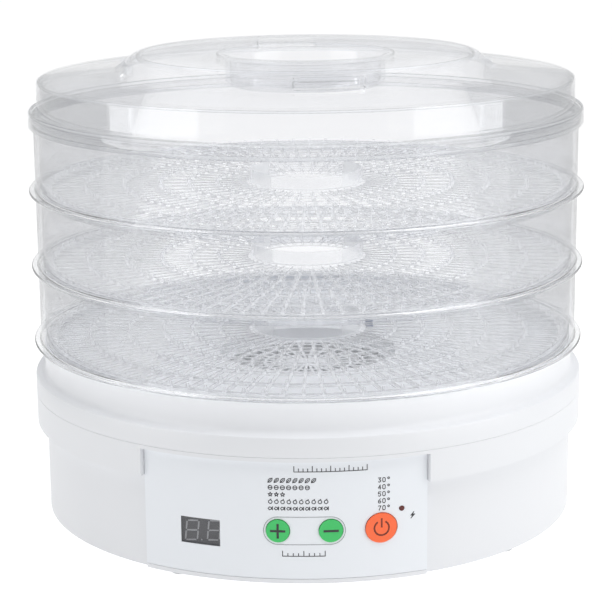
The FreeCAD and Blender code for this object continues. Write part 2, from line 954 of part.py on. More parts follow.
def make_lamp():
    """A small lamp that stands on the control board and fills its hole in the panel."""
    lens = level_rod("lamp_lens", size.lamp_radius, lamp_y, board_front, lamp_x, size.lamp_level)
    foot = level_rod("lamp_foot", size.lamp_foot, board_front - size.switch_height,
                     board_front, lamp_x, size.lamp_level)
    node(fuse("lamp_solid", lens, foot), "power_lamp")


def make_control_board():
    """The flat board behind the panel, its chip and its screws into the panel's posts."""
    half_width = other_leg(body_inside, board_back) - size.board_side_gap
    blank = block("board_blank", (-half_width, board_front, size.board_bottom),
                  (half_width, board_back, size.board_top))
    holes = []
    screws = []
    for index, (x, z) in enumerate(board_corners()):
        holes.append(level_rod(f"board_hole_{index}", size.screw_radius, board_front, board_back, x, z))
        head = level_rod(f"board_screw_head_{index}", size.short_screw_head, board_back,
                         board_back + size.screw_head_height, x, z)
        shank = level_rod(f"board_screw_shank_{index}", size.screw_radius,
                          board_front - size.post_bite, board_back, x, z)
        screws.append(fuse(f"board_screw_{index}", head, shank))
    node(cut("control_board_solid", blank, *holes), "control_board")
    node(group("board_screw_group", screws), "board_screws")
    half = size.chip_side / 2
    middle = (size.board_bottom + size.board_top) / 2
    node(block("chip_block", (-half, board_back, middle - half),
               (half, board_back + size.chip_height, middle + half)), "control_chip")


# ---------------------------------------------------------------- the power board


def power_board_corners():
    """Where the power board's four screws stand."""
    half_x = size.power_board_width / 2 - size.boss_inset
    half_y = size.power_board_depth / 2 - size.boss_inset
    return [(half_x * i, size.power_board_centre + half_y * j) for i in (-1, 1) for j in (-1, 1)]


def make_power_board():
    """The board that feeds the motor and the heater, with the parts that stand on it."""
    low = cover_top + size.power_board_lift
    top = low + size.board_thickness
    middle = size.power_board_centre
    half_x = size.power_board_width / 2
    half_y = size.power_board_depth / 2
    blank = block("power_blank", (-half_x, middle - half_y, low), (half_x, middle + half_y, top))
    holes = []
    screws = []
    for index, (x, y) in enumerate(power_board_corners()):
        holes.append(rod(f"power_hole_{index}", size.screw_radius, low, top, x, y))
        head = rod(f"power_screw_head_{index}", size.short_screw_head, top,
                   top + size.screw_head_height, x, y)
        shank = rod(f"power_screw_shank_{index}", size.screw_radius, screw_end, top, x, y)
        screws.append(fuse(f"power_screw_{index}", head, shank))
    node(cut("power_board_solid", blank, *holes), "power_board")
    node(group("power_screw_group", screws), "power_board_screws")

    front = middle - half_y + size.boss_inset * 2
    side = half_x - size.power_part_inset
    node(block("relay_block", (-side, front, top),
               (size.relay_width - side, front + size.relay_depth, top + size.relay_height)),
         "relay")
    core_x = side - size.transformer_width
    core = block("core_block", (core_x, front, top),
                 (side, front + size.transformer_depth, top + size.transformer_height))
    bobbin_x = core_x + (size.transformer_width - size.bobbin_width) / 2
    bobbin_back = front + size.transformer_depth + size.bobbin_overhang
    bobbin = block("bobbin_block",
                   (bobbin_x, front - size.bobbin_overhang, top + size.bobbin_inset),
                   (bobbin_x + size.bobbin_width, bobbin_back,
                    top + size.transformer_height - size.bobbin_inset))
    node(fuse("transformer_solid", core, bobbin), "transformer")
    node(rod("capacitor_can", size.capacitor_radius, top, top + size.capacitor_height,
             ZERO, front + size.capacitor_radius), "capacitor")
    back = middle + half_y - size.terminal_inset
    node(block("terminal_case", (-(size.terminal_width / 2), back - size.terminal_depth, top),
               (size.terminal_width / 2, back, top + size.terminal_height)), "terminal_block")


def make_cord_gland():
    """The flanged bush in the rear wall that the supply cord comes through."""
    level = size.gland_level
    inner_end = body_inside - size.gland_tail
    outer_end = size.body_radius + size.gland_flange_height
    barrel = level_rod("gland_barrel", size.gland_radius, inner_end, outer_end, ZERO, level)
    flange = level_rod("gland_flange_disc", size.gland_flange, size.body_radius, outer_end,
                       ZERO, level)
    nut = level_rod("gland_nut_rod", size.gland_nut, inner_end,
                    body_inside - size.gland_nut_gap, ZERO, level)
    bore = level_rod("gland_bore_rod", size.gland_bore, inner_end, outer_end, ZERO, level)
    node(cut("gland_solid", fuse("gland_whole", barrel, flange, nut), bore), "cord_gland")


# ---------------------------------------------------------------- the motor and the fan


def make_motor_mount():
    half_x = size.mount_length / 2
    half_y = size.mount_width / 2
    plate = block("mount_blank", (-half_x, -half_y, mount_bottom), (half_x, half_y, mount_top))
    holes = [rod("mount_middle", size.mount_hole, mount_bottom, mount_top)]
    for side in (1, -1):
        holes.append(rod(f"mount_hole_{side}", size.motor_screw_radius, mount_bottom, mount_top,
                         size.mount_post_place * side))
    node(cut("motor_mount_solid", plate, *holes), "motor_mount")


def make_stator():
    """The laminated core with the rotor's bore, and the coil on its side limb."""
    core = block("core", (-size.stator_left, -size.stator_half_depth, stator_bottom),
                 (size.stator_right, size.stator_half_depth, stator_top))
    limb_start = size.stator_right - size.limb_width
    window = block("core_window",
                   (limb_start - size.limb_width, -size.limb_half_depth, stator_bottom),
                   (limb_start, size.limb_half_depth, stator_top))
    bore = rod("core_bore", size.rotor_radius + size.air_gap, stator_bottom, stator_top)
    holes = [
        rod(f"core_hole_{side}", size.motor_screw_radius, stator_bottom, stator_top,
            ZERO, size.motor_screw_place * side)
        for side in (1, -1)
    ]
    node(cut("stator_solid", core, window, bore, *holes), "motor_stator")

    half = size.limb_half_depth - size.coil_side_gap
    winding = block("winding",
                    (limb_start - size.coil_build, -half, stator_bottom - size.coil_build),
                    (size.stator_right + size.coil_build, half, stator_top + size.coil_build))
    limb = block("limb", (limb_start, -size.limb_half_depth, stator_bottom),
                 (size.stator_right, size.limb_half_depth, stator_top))
    node(cut("coil_solid", winding, limb), "motor_coil")


def make_bearing_bracket(name, seat, side):
    """A sheet bracket of hat shape on the stator's face, with the shaft's bearing in it."""
    crown = seat + size.bracket_height * side
    under = crown - size.bracket_sheet * side
    tab = seat + size.bracket_sheet * side
    span = size.bracket_half_span
    leg = span - size.bracket_sheet
    reach = size.stator_half_depth
    body = doc.addObject("PartDesign::Body", f"{name}_hat")
    sketch = new_sketch(body, "YZ_Plane")
    draw_outline(
        sketch,
        [
            (-reach, seat), (-leg, seat), (-leg, under), (leg, under), (leg, seat), (reach, seat),
            (reach, tab), (span, tab), (span, crown), (-span, crown), (-span, tab), (-reach, tab),
        ],
    )
    pad = body.newObject("PartDesign::Pad", f"{name}_pad")
    pad.Profile = sketch
    pad.SideType = "Symmetric"
    bind(pad, Length=size.bracket_width)
    doc.recompute()
    inner_end = crown - size.bearing_depth * side
    low, high = (inner_end, crown) if side > 0 else (crown, inner_end)
    bearing = rod(f"{name}_bearing", size.bearing_radius, low, high)
    bore = rod(f"{name}_bore", size.shaft_radius + size.shaft_gap, low, high)
    low, high = (seat, tab) if side > 0 else (tab, seat)
    holes = [
        rod(f"{name}_hole_{end}", size.motor_screw_radius, low, high,
            ZERO, size.motor_screw_place * end)
        for end in (1, -1)
    ]
    node(cut(f"{name}_solid", fuse(f"{name}_whole", body, bearing), bore, *holes), name)


def make_motor_screws():
    """Two screws through the brackets and the core, and two that hold the mounting plate."""
    screws = []
    upper_tab = stator_top + size.bracket_sheet
    lower_tab = stator_bottom - size.bracket_sheet
    for side in (1, -1):
        y = size.motor_screw_place * side
        head = rod(f"core_screw_head_{side}", size.short_screw_head, upper_tab,
                   upper_tab + size.screw_head_height, ZERO, y)
        shank = rod(f"core_screw_{side}", size.motor_screw_radius, lower_tab, upper_tab, ZERO, y)
        screws.append(fuse(f"core_screw_whole_{side}", head, shank))
        x = size.mount_post_place * side
        head = rod(f"mount_screw_head_{side}", size.short_screw_head, mount_top,
                   mount_top + size.screw_head_height, x)
        shank = rod(f"mount_screw_{side}", size.motor_screw_radius, screw_end, mount_top, x)
        screws.append(fuse(f"mount_screw_whole_{side}", head, shank))
    node(group("motor_screw_group", screws), "motor_screws")


def make_rotor_and_fan():
    """What turns: the shaft, the rotor on it and the axial fan on its upper end."""
    node(rod("shaft_rod", size.shaft_radius, mount_bottom - size.shaft_tail, fan_top), "motor_shaft")
    drum = rod("rotor_drum", size.rotor_radius, stator_bottom + size.rotor_inset,
               stator_top - size.rotor_inset)
    node(cut("rotor_solid", drum, rod("rotor_bore", size.shaft_radius, stator_bottom, stator_top)),
         "motor_rotor")
    tip = duct_inside - size.fan_tip_gap
    half_width = size.blade_width / 2
    half_sheet = size.blade_thickness / 2
    pitch = size.blade_pitch
    blades = []
    for index in range(size_count("fan_blades")):
        blade = doc.addObject("Part::Box", f"blade_{index}")
        bind(blade, Length=tip, Width=size.blade_width, Height=size.blade_thickness)
        place(blade, ZERO, half_sheet * sine(pitch) - half_width * cosine(pitch),
              -half_sheet * cosine(pitch) - half_width * sine(pitch), axis=(1, 0, 0), turn=pitch)
        holder = group(f"blade_holder_{index}", [blade])
        turn = as_size(360 * index) / size.fan_blades
        place(holder, ZERO, ZERO, (fan_bottom + fan_top) / 2, turn=turn)
        blades.append(holder)
    hub = rod("hub", size.fan_hub, fan_bottom, fan_top)
    limit = rod("fan_limit", tip, fan_bottom, fan_top)
    trimmed = [common(f"trimmed_blade_{index}", blade, limit) for index, blade in enumerate(blades)]
    bore = rod("hub_bore", size.shaft_radius, fan_bottom, fan_top)
    node(cut("impeller_solid", fuse("wheel", hub, *trimmed), bore), "fan_impeller")


def make_duct():
    """The sheet-metal ring round the fan and the heater, hung from the outlet's ledge."""
    top = outlet_ledge_bottom
    rim = duct_inside + size.duct_flange
    node(
        turned(
            "duct",
            [
                (duct_inside, motor_top),
                (duct_inside, top),
                (rim, top),
                (rim, top - size.duct_sheet),
                (duct_outside, top - size.duct_sheet),
                (duct_outside, motor_top),
            ],
        ),
        "heater_duct",
    )
    level = top - size.duct_sheet - size.thermostat_drop - size.thermostat_radius
    disc = level_rod("thermostat_disc", size.thermostat_radius, duct_inside,
                     duct_outside + size.thermostat_depth, ZERO, level)
    node(cut("thermostat_solid", disc, rod("thermostat_seat", duct_outside, motor_top, mica_top)),
         "thermostat")


def make_heater():
    """Two crossed mica boards, three rings of resistance coil in their notches, and a fuse."""
    reach = duct_inside - size.mica_end_gap
    half = size.mica_thickness / 2
    boards = [
        block("mica_x", (-reach, -half, mica_bottom), (reach, half, mica_top)),
        block("mica_y", (-half, -reach, mica_bottom), (half, reach, mica_top)),
    ]
    level = (mica_bottom + mica_top) / 2
    rings = []
    notches = []
    for index in range(size_count("coil_rings")):
        radius = size.coil_first + size.coil_step * index
        for name, wire, things in (("ring", size.coil_wire, rings),
                                   ("notch", size.coil_wire + size.coil_gap, notches)):
            torus = doc.addObject("Part::Torus", f"{name}_{index}")
            bind(torus, Radius1=radius, Radius2=wire)
            things.append(place(torus, z=level))
    node(cut("heater_frame_solid", fuse("mica_cross", *boards), *notches), "heater_frame")
    node(group("heater_ring_group", rings), "heater_coils")
    fuse_rod = doc.addObject("Part::Cylinder", "fuse_rod")
    bind(fuse_rod, Radius=size.fuse_radius, Height=size.fuse_length)
    place(fuse_rod, size.fuse_place, half + size.fuse_radius, level, axis=(0, 1, 0), turn=90)
    node(fuse_rod, "thermal_fuse")


def make_sensor():
    """The temperature probe that stands up through the deck, with its flange below."""
    x, y = round_spot(sensor_circle, size.sensor_turn)
    probe = rod("probe", size.sensor_radius, deck_bottom, deck_top + size.sensor_rise, x, y)
    flange = rod("probe_flange", size.sensor_flange, deck_bottom - size.sensor_flange_height,
                 deck_bottom, x, y)
    node(fuse("sensor_solid", probe, flange), "temperature_sensor")


# ---------------------------------------------------------------- the trays and the lid

tray_outside = size.body_radius + size.tray_overhang
tray_inside = tray_outside - size.tray_wall
flange_radius = size.body_radius + size.flange_overhang
skirt_outside = body_inside - size.stack_gap
skirt_inside = skirt_outside - size.skirt_wall


def make_tray(name, seat):
    """One clear moulding: a wall with a flange, a skirt that nests below, and a grid floor."""
    floor_top = seat + size.tray_floor
    chimney_top = seat + size.chimney_height
    chimney_inside = size.chimney_radius - size.chimney_wall
    tray = turned(
        name + "_shell",
        [
            (chimney_inside, seat),
            (chimney_inside, chimney_top),
            (size.chimney_radius, chimney_top),
            (size.chimney_radius, floor_top),
            (tray_inside, floor_top),
            (tray_inside, seat + size.tray_pitch),
            (tray_outside, seat + size.tray_pitch),
            (tray_outside, seat + size.flange_thickness),
            (flange_radius, seat + size.flange_thickness),
            (flange_radius, seat),
            (skirt_outside, seat),
            (skirt_outside, seat - size.skirt_depth),
            (skirt_inside, seat - size.skirt_depth),
            (skirt_inside, seat),
        ],
    )
    slots = straight_slots(size.chimney_radius + size.floor_rib, skirt_inside - size.floor_rib,
                           "floor_rings", size.floor_rib, size.floor_slot_width)
    cut_through(tray, "XY_Plane", slots, size.floor_slots)
    node(tray, name)


def make_lid(seat):
    """The clear lid: a rim over the top tray, a side, a low cone, a raised top and a well."""
    wall = size.lid_wall
    band = size.body_radius + size.lid_overhang
    lip_inside = tray_outside + size.lid_lip_gap
    side = size.body_radius - size.lid_side_inset
    rim_top = seat + size.lid_rim
    shoulder = rim_top + size.lid_side_height
    step_foot = shoulder + size.lid_cone_rise
    top = step_foot + size.lid_step_rise
    well_floor = top - size.well_depth
    lid = turned(
        "lid_shell",
        [
            (band, seat - size.lid_lip),
            (band, rim_top),
            (side, rim_top),
            (side, shoulder),
            (size.lid_step_radius, step_foot),
            (size.lid_top_radius, top),
            (size.well_rim, top),
            (size.well_radius, top - size.well_rim_fall),
            (size.well_radius, well_floor),
            (ZERO, well_floor),
            (ZERO, well_floor - wall),
            (size.well_radius + wall, well_floor - wall),
            (size.well_radius + wall, top - size.well_rim_fall - wall),
            (size.well_rim + wall, top - wall),
            (size.lid_top_radius - wall, top - wall),
            (size.lid_step_radius - wall, step_foot - wall),
            (side - wall, shoulder - wall),
            (side - wall, seat),
            (lip_inside, seat),
            (lip_inside, seat - size.lid_lip),
        ],
    )
    round_rings(lid, size.edge_round, (side, shoulder), (size.lid_top_radius, top))
    slots = []
    slot_bottom = step_foot + size.vent_slot_lift
    for index in range(size_count("vent_slots")):
        turn = size.vent_slot_turn + as_size(360 * index) / size.vent_slots
        slots.append(radial_block("lid_slot", turn, size.lid_top_radius - wall * 2,
                                  size.lid_step_radius + wall, size.vent_slot_length,
                                  slot_bottom, slot_bottom + size.vent_slot_height))
    node(cut("lid_solid", lid, *slots), "lid")


# ---------------------------------------------------------------- building and writing

make_upper_housing()
make_lower_housing()
make_bottom_cover()
make_feet()
make_housing_screws()
make_outlet_guard()
make_front_panel()
make_display()
make_keys()
make_switches()
make_lamp()
make_control_board()
make_power_board()
make_cord_gland()
make_motor_mount()
make_stator()
make_bearing_bracket("upper_bearing_bracket", stator_top, 1)
make_bearing_bracket("lower_bearing_bracket", stator_bottom, -1)
make_motor_screws()
make_rotor_and_fan()
make_duct()
make_heater()
make_sensor()
for step, tray_name in enumerate(("tray_bottom", "tray_middle", "tray_top")):
    make_tray(tray_name, neck_top + size.tray_pitch * step)
make_lid(neck_top + size.tray_pitch * 3)

doc.recompute()
for thing in doc.Objects:
    if "Invalid" in thing.State or "Error" in thing.State:
        sys.exit(f"{thing.Label} could not be built: {thing.State}")
for thing in nodes:
    if thing.Shape.isNull() or not thing.Shape.isValid() or not thing.Shape.Solids:
        sys.exit(f"{thing.Label} has no sound solid")

os.makedirs("parts", exist_ok=True)
for thing in nodes:
    thing.Shape.exportStep(os.path.join("parts", thing.Label + ".step"))
print(len(nodes), "sub-parts written")
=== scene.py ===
import math

import bmesh
import bpy
from mathutils import Matrix, Vector


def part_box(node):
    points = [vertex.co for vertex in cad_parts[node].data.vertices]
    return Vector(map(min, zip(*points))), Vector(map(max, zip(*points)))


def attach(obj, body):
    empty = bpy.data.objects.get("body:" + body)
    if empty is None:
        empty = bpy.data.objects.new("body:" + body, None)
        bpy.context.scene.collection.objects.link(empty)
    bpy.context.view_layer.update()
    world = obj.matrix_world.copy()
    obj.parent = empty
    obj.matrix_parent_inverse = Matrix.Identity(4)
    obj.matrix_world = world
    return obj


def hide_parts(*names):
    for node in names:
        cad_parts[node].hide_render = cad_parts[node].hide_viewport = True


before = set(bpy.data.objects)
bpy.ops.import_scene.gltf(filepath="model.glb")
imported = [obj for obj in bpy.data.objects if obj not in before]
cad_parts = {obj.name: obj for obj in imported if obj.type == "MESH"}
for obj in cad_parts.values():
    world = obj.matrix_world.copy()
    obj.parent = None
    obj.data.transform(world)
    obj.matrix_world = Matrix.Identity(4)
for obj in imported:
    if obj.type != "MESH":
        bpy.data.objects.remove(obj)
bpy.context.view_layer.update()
scene = bpy.context.scene
MM = 0.001

# ------------------------------------------------------------------ the camera
# It stands in front of the panel, a little to the panel's right, and looks slightly down.

camera_turn = math.radians(5.3)
camera_drop = math.radians(13.27)
camera_roll = -0.0089
camera_spot = Vector((-0.00086, -1.14956, 0.38892))

camera_optics = bpy.data.cameras.new("camera")
camera_optics.lens = 117.73
camera_optics.sensor_width = 36
camera = bpy.data.objects.new("camera", camera_optics)
scene.collection.objects.link(camera)
camera.matrix_world = (
    Matrix.Rotation(camera_turn, 4, "Z")
    @ Matrix.Translation(camera_spot)
    @ Matrix.Rotation(math.radians(90) - camera_drop, 4, "X")
    @ Matrix.Rotation(camera_roll, 4, "Z")
)
scene.camera = camera

# ------------------------------------------------------------------ the stage
# A pale floor, a pale room, one broad soft light overhead and two upright soft boxes,
# one to each side in front, which show as upright bands in the clear walls.

scene.view_settings.view_transform = "Standard"
scene.cycles.transparent_max_bounces = 96
scene.cycles.max_bounces = 20
scene.cycles.transmission_bounces = 20


class Wire:
    """A socket in a finish's node tree; arithmetic on it adds Math nodes."""

    def __init__(self, finish, socket):
        self.finish = finish
        self.socket = socket

    def __add__(self, other):
        return self.finish.join("ADD", self, other)

    def __radd__(self, other):
        return self.finish.join("ADD", other, self)

    def __sub__(self, other):
        return self.finish.join("SUBTRACT", self, other)

    def __rsub__(self, other):
        return self.finish.join("SUBTRACT", other, self)

    def __mul__(self, other):
        return self.finish.join("MULTIPLY", self, other)

    def __rmul__(self, other):
        return self.finish.join("MULTIPLY", other, self)

    def __gt__(self, other):
        return self.finish.join("GREATER_THAN", self, other)


class Finish:
    """A node tree for a surface or for the room."""

    def __init__(self, name, holder=None):
        self.holder = holder or bpy.data.materials.new(name)
        self.holder.use_nodes = True
        self.tree = self.holder.node_tree
        self.shader = self.tree.nodes.get("Principled BSDF")

    def node(self, kind, settings, values, out=None):
        """Add a node: its settings first, then its sockets, and give back one output."""
        made = self.tree.nodes.new(kind)
        for word, setting in settings.items():
            setattr(made, word, setting)
        self.feed(made, values)
        outputs = {socket.identifier: socket for socket in made.outputs}
        return Wire(self, outputs[out] if out else made.outputs[0])

    def feed(self, target, values):
        inputs = {socket.identifier: socket for socket in target.inputs}
        for word, value in values.items():
            if isinstance(value, Wire):
                self.tree.links.new(inputs[word], value.socket)
            else:
                inputs[word].default_value = value

    def join(self, operation, first, second=0.0):
        """A Math node of two values or wires."""
        values = {"Value": first, "Value_001": second}
        return self.node("ShaderNodeMath", {"operation": operation}, values)

    def surface(self, **values):
        self.feed(self.shader, {word.replace("_", " "): value for word, value in values.items()})

    def where(self):
        return self.node("ShaderNodeTexCoord", {}, {}, "Object")

    def noise(self, scale, detail=2.0, vector=None):
        values = {"Vector": vector or self.where(), "Scale": scale, "Detail": detail}
        return self.node("ShaderNodeTexNoise", {}, values, "Fac")

    def blend(self, mask, low, high):
        values = {"Factor_Float": mask, "A_Color": low, "B_Color": high}
        return self.node("ShaderNodeMix", {"data_type": "RGBA"}, values, "Result_Color")

    def bump(self, height, depth, strength=1.0):
        values = {"Height": height, "Distance": depth, "Strength": strength}
        return self.node("ShaderNodeBump", {}, values, "Normal")


room = Finish("room", bpy.data.worlds.new("room"))
scene.world = room.holder
ray = room.tree.nodes.new("ShaderNodeLightPath")
seen = Wire(room, ray.outputs["Is Camera Ray"])
mirrored = Wire(room, ray.outputs["Is Glossy Ray"])
ROOM_LIGHT = 0.26
room.feed(
    room.tree.nodes["Background"],
    {"Strength": ROOM_LIGHT + seen * (1.0 - ROOM_LIGHT) + mirrored * 0.62},
)
room.tree.nodes["Background"].inputs["Color"].default_value = (0.98, 0.99, 1.0, 1)


glow = Finish("glow")
glow.surface(
    Base_Color=glow.blend(glow.noise(2.0), (0.90, 0.90, 0.90, 1), (0.94, 0.94, 0.94, 1)),
    Roughness=0.9,
)
glow.shader.inputs["Emission Color"].default_value = (1, 1, 1, 1)
glow.shader.inputs["Emission Strength"].default_value = 1.6


def soft_box(name, turn, distance, low, high, width, radiance):
    """An upright soft box that faces the axis, from one height to another."""
    light = bpy.data.lights.new(name, "AREA")
    light.shape = "RECTANGLE"
    light.size = width
    light.size_y = high - low
    light.energy = radiance * math.pi * width * (high - low)
    box = bpy.data.objects.new(name, light)
    scene.collection.objects.link(box)
    box.matrix_world = (
        Matrix.Rotation(turn, 4, "Z")
        @ Matrix.Translation((0, -distance, (low + high) / 2))
        @ Matrix.Rotation(math.radians(90), 4, "X")
    )
    box.visible_camera = False
    box.visible_glossy = False
    panel_bm = bmesh.new()
    bmesh.ops.create_grid(panel_bm, x_segments=1, y_segments=1, size=0.5, matrix=(
        Matrix.Diagonal((width, high - low, 1, 1))))
    panel_mesh = bpy.data.meshes.new(name + "_panel")
    panel_bm.to_mesh(panel_mesh)
    panel_bm.free()
    panel_mesh.materials.append(glow.holder)
    panel = bpy.data.objects.new(name + "_panel", panel_mesh)
    scene.collection.objects.link(panel)
    panel.matrix_world = box.matrix_world.copy()
    panel.visible_camera = False
    panel.visible_diffuse = False
    panel.visible_shadow = False
    panel.visible_transmission = False


soft_box("left_box", camera_turn - math.radians(62), 0.80, 0.045, 0.95, 0.62, 0.73)
soft_box("right_box", camera_turn + math.radians(62), 0.80, 0.045, 0.95, 0.62, 1.30)
overhead = bpy.data.lights.new("overhead", "AREA")
overhead.shape = "RECTANGLE"
overhead.size = 1.8
overhead.size_y = 1.4
overhead.energy = 18.0
overhead_box = bpy.data.objects.new("overhead", overhead)
scene.collection.objects.link(overhead_box)
overhead_box.location = (0.35, -0.45, 1.5)
overhead_box.rotation_euler = (math.radians(-12), 0, 0)
overhead_box.visible_camera = False
overhead_box.visible_glossy = False

paper = Finish("white_paper")
paper.surface(
    Base_Color=paper.blend(paper.noise(3.0), (0.34, 0.342, 0.345, 1), (0.37, 0.372, 0.375, 1)),
    Roughness=0.9,
)
paper.shader.inputs["Emission Color"].default_value = (1, 1, 1, 1)
paper.shader.inputs["Emission Strength"].default_value = 0.88
bm = bmesh.new()
bmesh.ops.create_grid(bm, x_segments=1, y_segments=1, size=60.0,
                      matrix=Matrix.Translation((0, 0, -0.0003)))
mesh = bpy.data.meshes.new("floor")
bm.to_mesh(mesh)
bm.free()
mesh.materials.append(paper.holder)
floor = bpy.data.objects.new("floor", mesh)
scene.collection.objects.link(floor)

# ------------------------------------------------------------------ the bottom cover
# A flat white disc of moulded plastic, with rings of air slots and the posts that carry
# the motor and the power board. It closes the base from below.

white = Finish("white_plastic")
grain = white.noise(1500, 3.0)
cloud = white.noise(9, 2.0)
white.surface(
    Base_Color=white.blend(cloud, (0.74, 0.75, 0.775, 1), (0.77, 0.78, 0.80, 1)),
    Roughness=0.36 + grain * 0.10,
    Normal=white.bump(grain, 0.00012, 0.35),
    Coat_Weight=0.06 + cloud * 0.04,
)


def dress(finish, *names):
    """Give sub-parts that keep their own shape a finish."""
    for name in names:
        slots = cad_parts[name].data.materials
        slots.clear()
        slots.append(finish.holder)


dress(white, "bottom_cover")

# ------------------------------------------------------------------ the feet
# Four light grey rubber pads, each pushed through the cover by its stem, with a rounded
# lower edge.


def turned(corners, steps=180, arc=math.tau, start=0.0):
    """A bmesh made by turning a closed outline of (radius, height) corners in mm."""
    bm = bmesh.new()
    ring = [bm.verts.new((0, -radius * MM, height * MM)) for radius, height in corners]
    edges = [bm.edges.new(pair) for pair in zip(ring, ring[1:] + ring[:1])]
    bmesh.ops.rotate(bm, verts=ring, matrix=Matrix.Rotation(start, 3, "Z"))
    whole = arc >= math.tau
    bmesh.ops.spin(bm, geom=ring + edges, axis=(0, 0, 1), cent=(0, 0, 0), angle=arc,
                   steps=steps, use_merge=whole)
    bmesh.ops.remove_doubles(bm, verts=bm.verts, dist=1e-6)
    if not whole:
        bmesh.ops.holes_fill(bm, edges=bm.edges, sides=0)
    bmesh.ops.recalc_face_normals(bm, faces=bm.faces)
    return bm


def piece(name, bm, finish, body, *stands_for, soften=0.0, slot=None):
    """Make an object of a bmesh, ride it on its body and let it stand for sub-parts."""
    mesh = bpy.data.meshes.new(name)
    bm.to_mesh(mesh)
    bm.free()
    mesh.materials.append(finish.holder)
    made = bpy.data.objects.new(name, mesh)
    scene.collection.objects.link(made)
    if soften:
        bevel = made.modifiers.new("soft_edges", "BEVEL")
        bevel.width = soften * MM
        bevel.segments = 3
        bevel.limit_method = "ANGLE"
        bevel.angle_limit = math.radians(30)
    mesh.shade_smooth()
    mesh.set_sharp_from_angle(angle=math.radians(38))
    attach(made, body)
    if stands_for:
        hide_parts(*stands_for)
    return made


rubber = Finish("rubber_foot")
rubber_grain = rubber.noise(900)
rubber.surface(
    Base_Color=rubber.blend(rubber_grain, (0.40, 0.41, 0.42, 1), (0.46, 0.47, 0.48, 1)),
    Roughness=0.62 + rubber_grain * 0.15,
    Normal=rubber.bump(rubber_grain, 0.0002, 0.4),
)
for foot in ("foot_front_left", "foot_front_right", "foot_rear_left", "foot_rear_right"):
    low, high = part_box(foot)
    middle = (low + high) / 2
    radius = (high.x - low.x) / 2 / MM
    bm = turned([(0.01, 0), (radius - 1.6, 0), (radius - 0.9, 0.5), (radius - 0.3, 3.2),
                 (radius, 4.4), (3.0, 4.5), (3.0, 6.9), (3.8, 7.0), (2.2, high.z / MM),
                 (0.01, high.z / MM)], steps=48)
    bmesh.ops.translate(bm, verts=bm.verts, vec=(middle.x, middle.y, 0))
    piece(foot + "_pad", bm, rubber, "base", foot, soften=0.2, slot="rubber_foot")

# ------------------------------------------------------------------ the works inside
# Screws and brackets of plated steel, a laminated motor core with a taped copper coil, an
# aluminised duct, a mica cross with coiled wire, green boards and their dark components.

steel = Finish("steel")
steel_grain = steel.noise(700, 4.0)
steel.surface(
    Base_Color=steel.blend(steel.noise(40), (0.56, 0.57, 0.60, 1), (0.68, 0.69, 0.70, 1)),
    Metallic=0.94 + steel_grain * 0.06,
    Roughness=0.24 + steel_grain * 0.22,
)
dress(steel, "housing_screws", "board_screws", "power_board_screws", "motor_screws", "motor_shaft",
      "motor_mount", "upper_bearing_bracket", "lower_bearing_bracket")

core = Finish("core_steel")
core_spot = core.node("ShaderNodeSeparateXYZ", {}, {"Vector": core.where()}, "Z")
sheets = core.join("SINE", core_spot * 9000)
core.surface(
    Base_Color=core.blend(core.noise(120), (0.16, 0.16, 0.18, 1), (0.27, 0.27, 0.29, 1)),
    Metallic=0.7 + core.noise(60) * 0.2,
    Roughness=0.42 + sheets * 0.08,
    Normal=core.bump(sheets, 0.0002, 0.8),
)
dress(core, "motor_stator", "motor_rotor", "transformer")

copper = Finish("copper_winding")
copper_spot = copper.node("ShaderNodeSeparateXYZ", {}, {"Vector": copper.where()}, "Z")
strands = copper.join("SINE", copper_spot * 14000)
copper.surface(
    Base_Color=copper.blend(strands, (0.36, 0.13, 0.05, 1), (0.72, 0.34, 0.14, 1)),
    Metallic=0.75 + copper.noise(80) * 0.15,
    Roughness=0.34 + copper.noise(300) * 0.15,
    Normal=copper.bump(strands, 0.0003, 0.8),
)
dress(copper, "motor_coil")

sheet = Finish("bright_sheet")
sheet.surface(
    Base_Color=sheet.blend(sheet.noise(25, 4.0), (0.38, 0.385, 0.40, 1), (0.52, 0.53, 0.54, 1)),
    Metallic=0.92 + sheet.noise(50) * 0.08,
    Roughness=0.26 + sheet.noise(500, 4.0) * 0.18,
)
dress(sheet, "heater_duct")

mica = Finish("mica")
flakes = mica.node("ShaderNodeTexVoronoi", {}, {"Vector": mica.where(), "Scale": 260.0}, "Distance")
mica.surface(
    Base_Color=mica.blend(flakes, (0.20, 0.16, 0.10, 1), (0.36, 0.31, 0.23, 1)),
    Roughness=0.38 + flakes * 0.25,
    Normal=mica.bump(flakes, 0.0001, 0.5),
)
dress(mica, "heater_frame")

wire = Finish("resistance_wire")
oxide = wire.noise(220, 3.0)
wire.surface(
    Base_Color=wire.blend(oxide, (0.20, 0.18, 0.17, 1), (0.42, 0.38, 0.35, 1)),
    Metallic=0.75 + oxide * 0.2,
    Roughness=0.35 + oxide * 0.25,
)
dress(wire, "heater_coils")

board = Finish("board")
tracks = board.node("ShaderNodeTexBrick", {}, {
    "Vector": board.where(), "Scale": 160.0, "Mortar Size": 0.012, "Color1": (0, 0, 0, 1),
    "Color2": (0.25, 0.25, 0.25, 1), "Mortar": (1, 1, 1, 1)}, "Fac")
board.surface(
    Base_Color=board.blend(tracks, (0.02, 0.14, 0.06, 1), (0.05, 0.26, 0.11, 1)),
    Roughness=0.30 + board.noise(300) * 0.12,
    Normal=board.bump(tracks, 0.00004, 0.6),
)
dress(board, "control_board", "power_board")

dark = Finish("black_plastic")
dark_grain = dark.noise(1200)
dark.surface(
    Base_Color=dark.blend(dark_grain, (0.018, 0.018, 0.02, 1), (0.032, 0.032, 0.035, 1)),
    Roughness=0.42 + dark_grain * 0.14,
    Normal=dark.bump(dark_grain, 0.0001, 0.3),
)
dress(dark, "tact_switches", "plus_plunger", "minus_plunger", "power_plunger", "control_chip",
      "fan_impeller", "display_module")

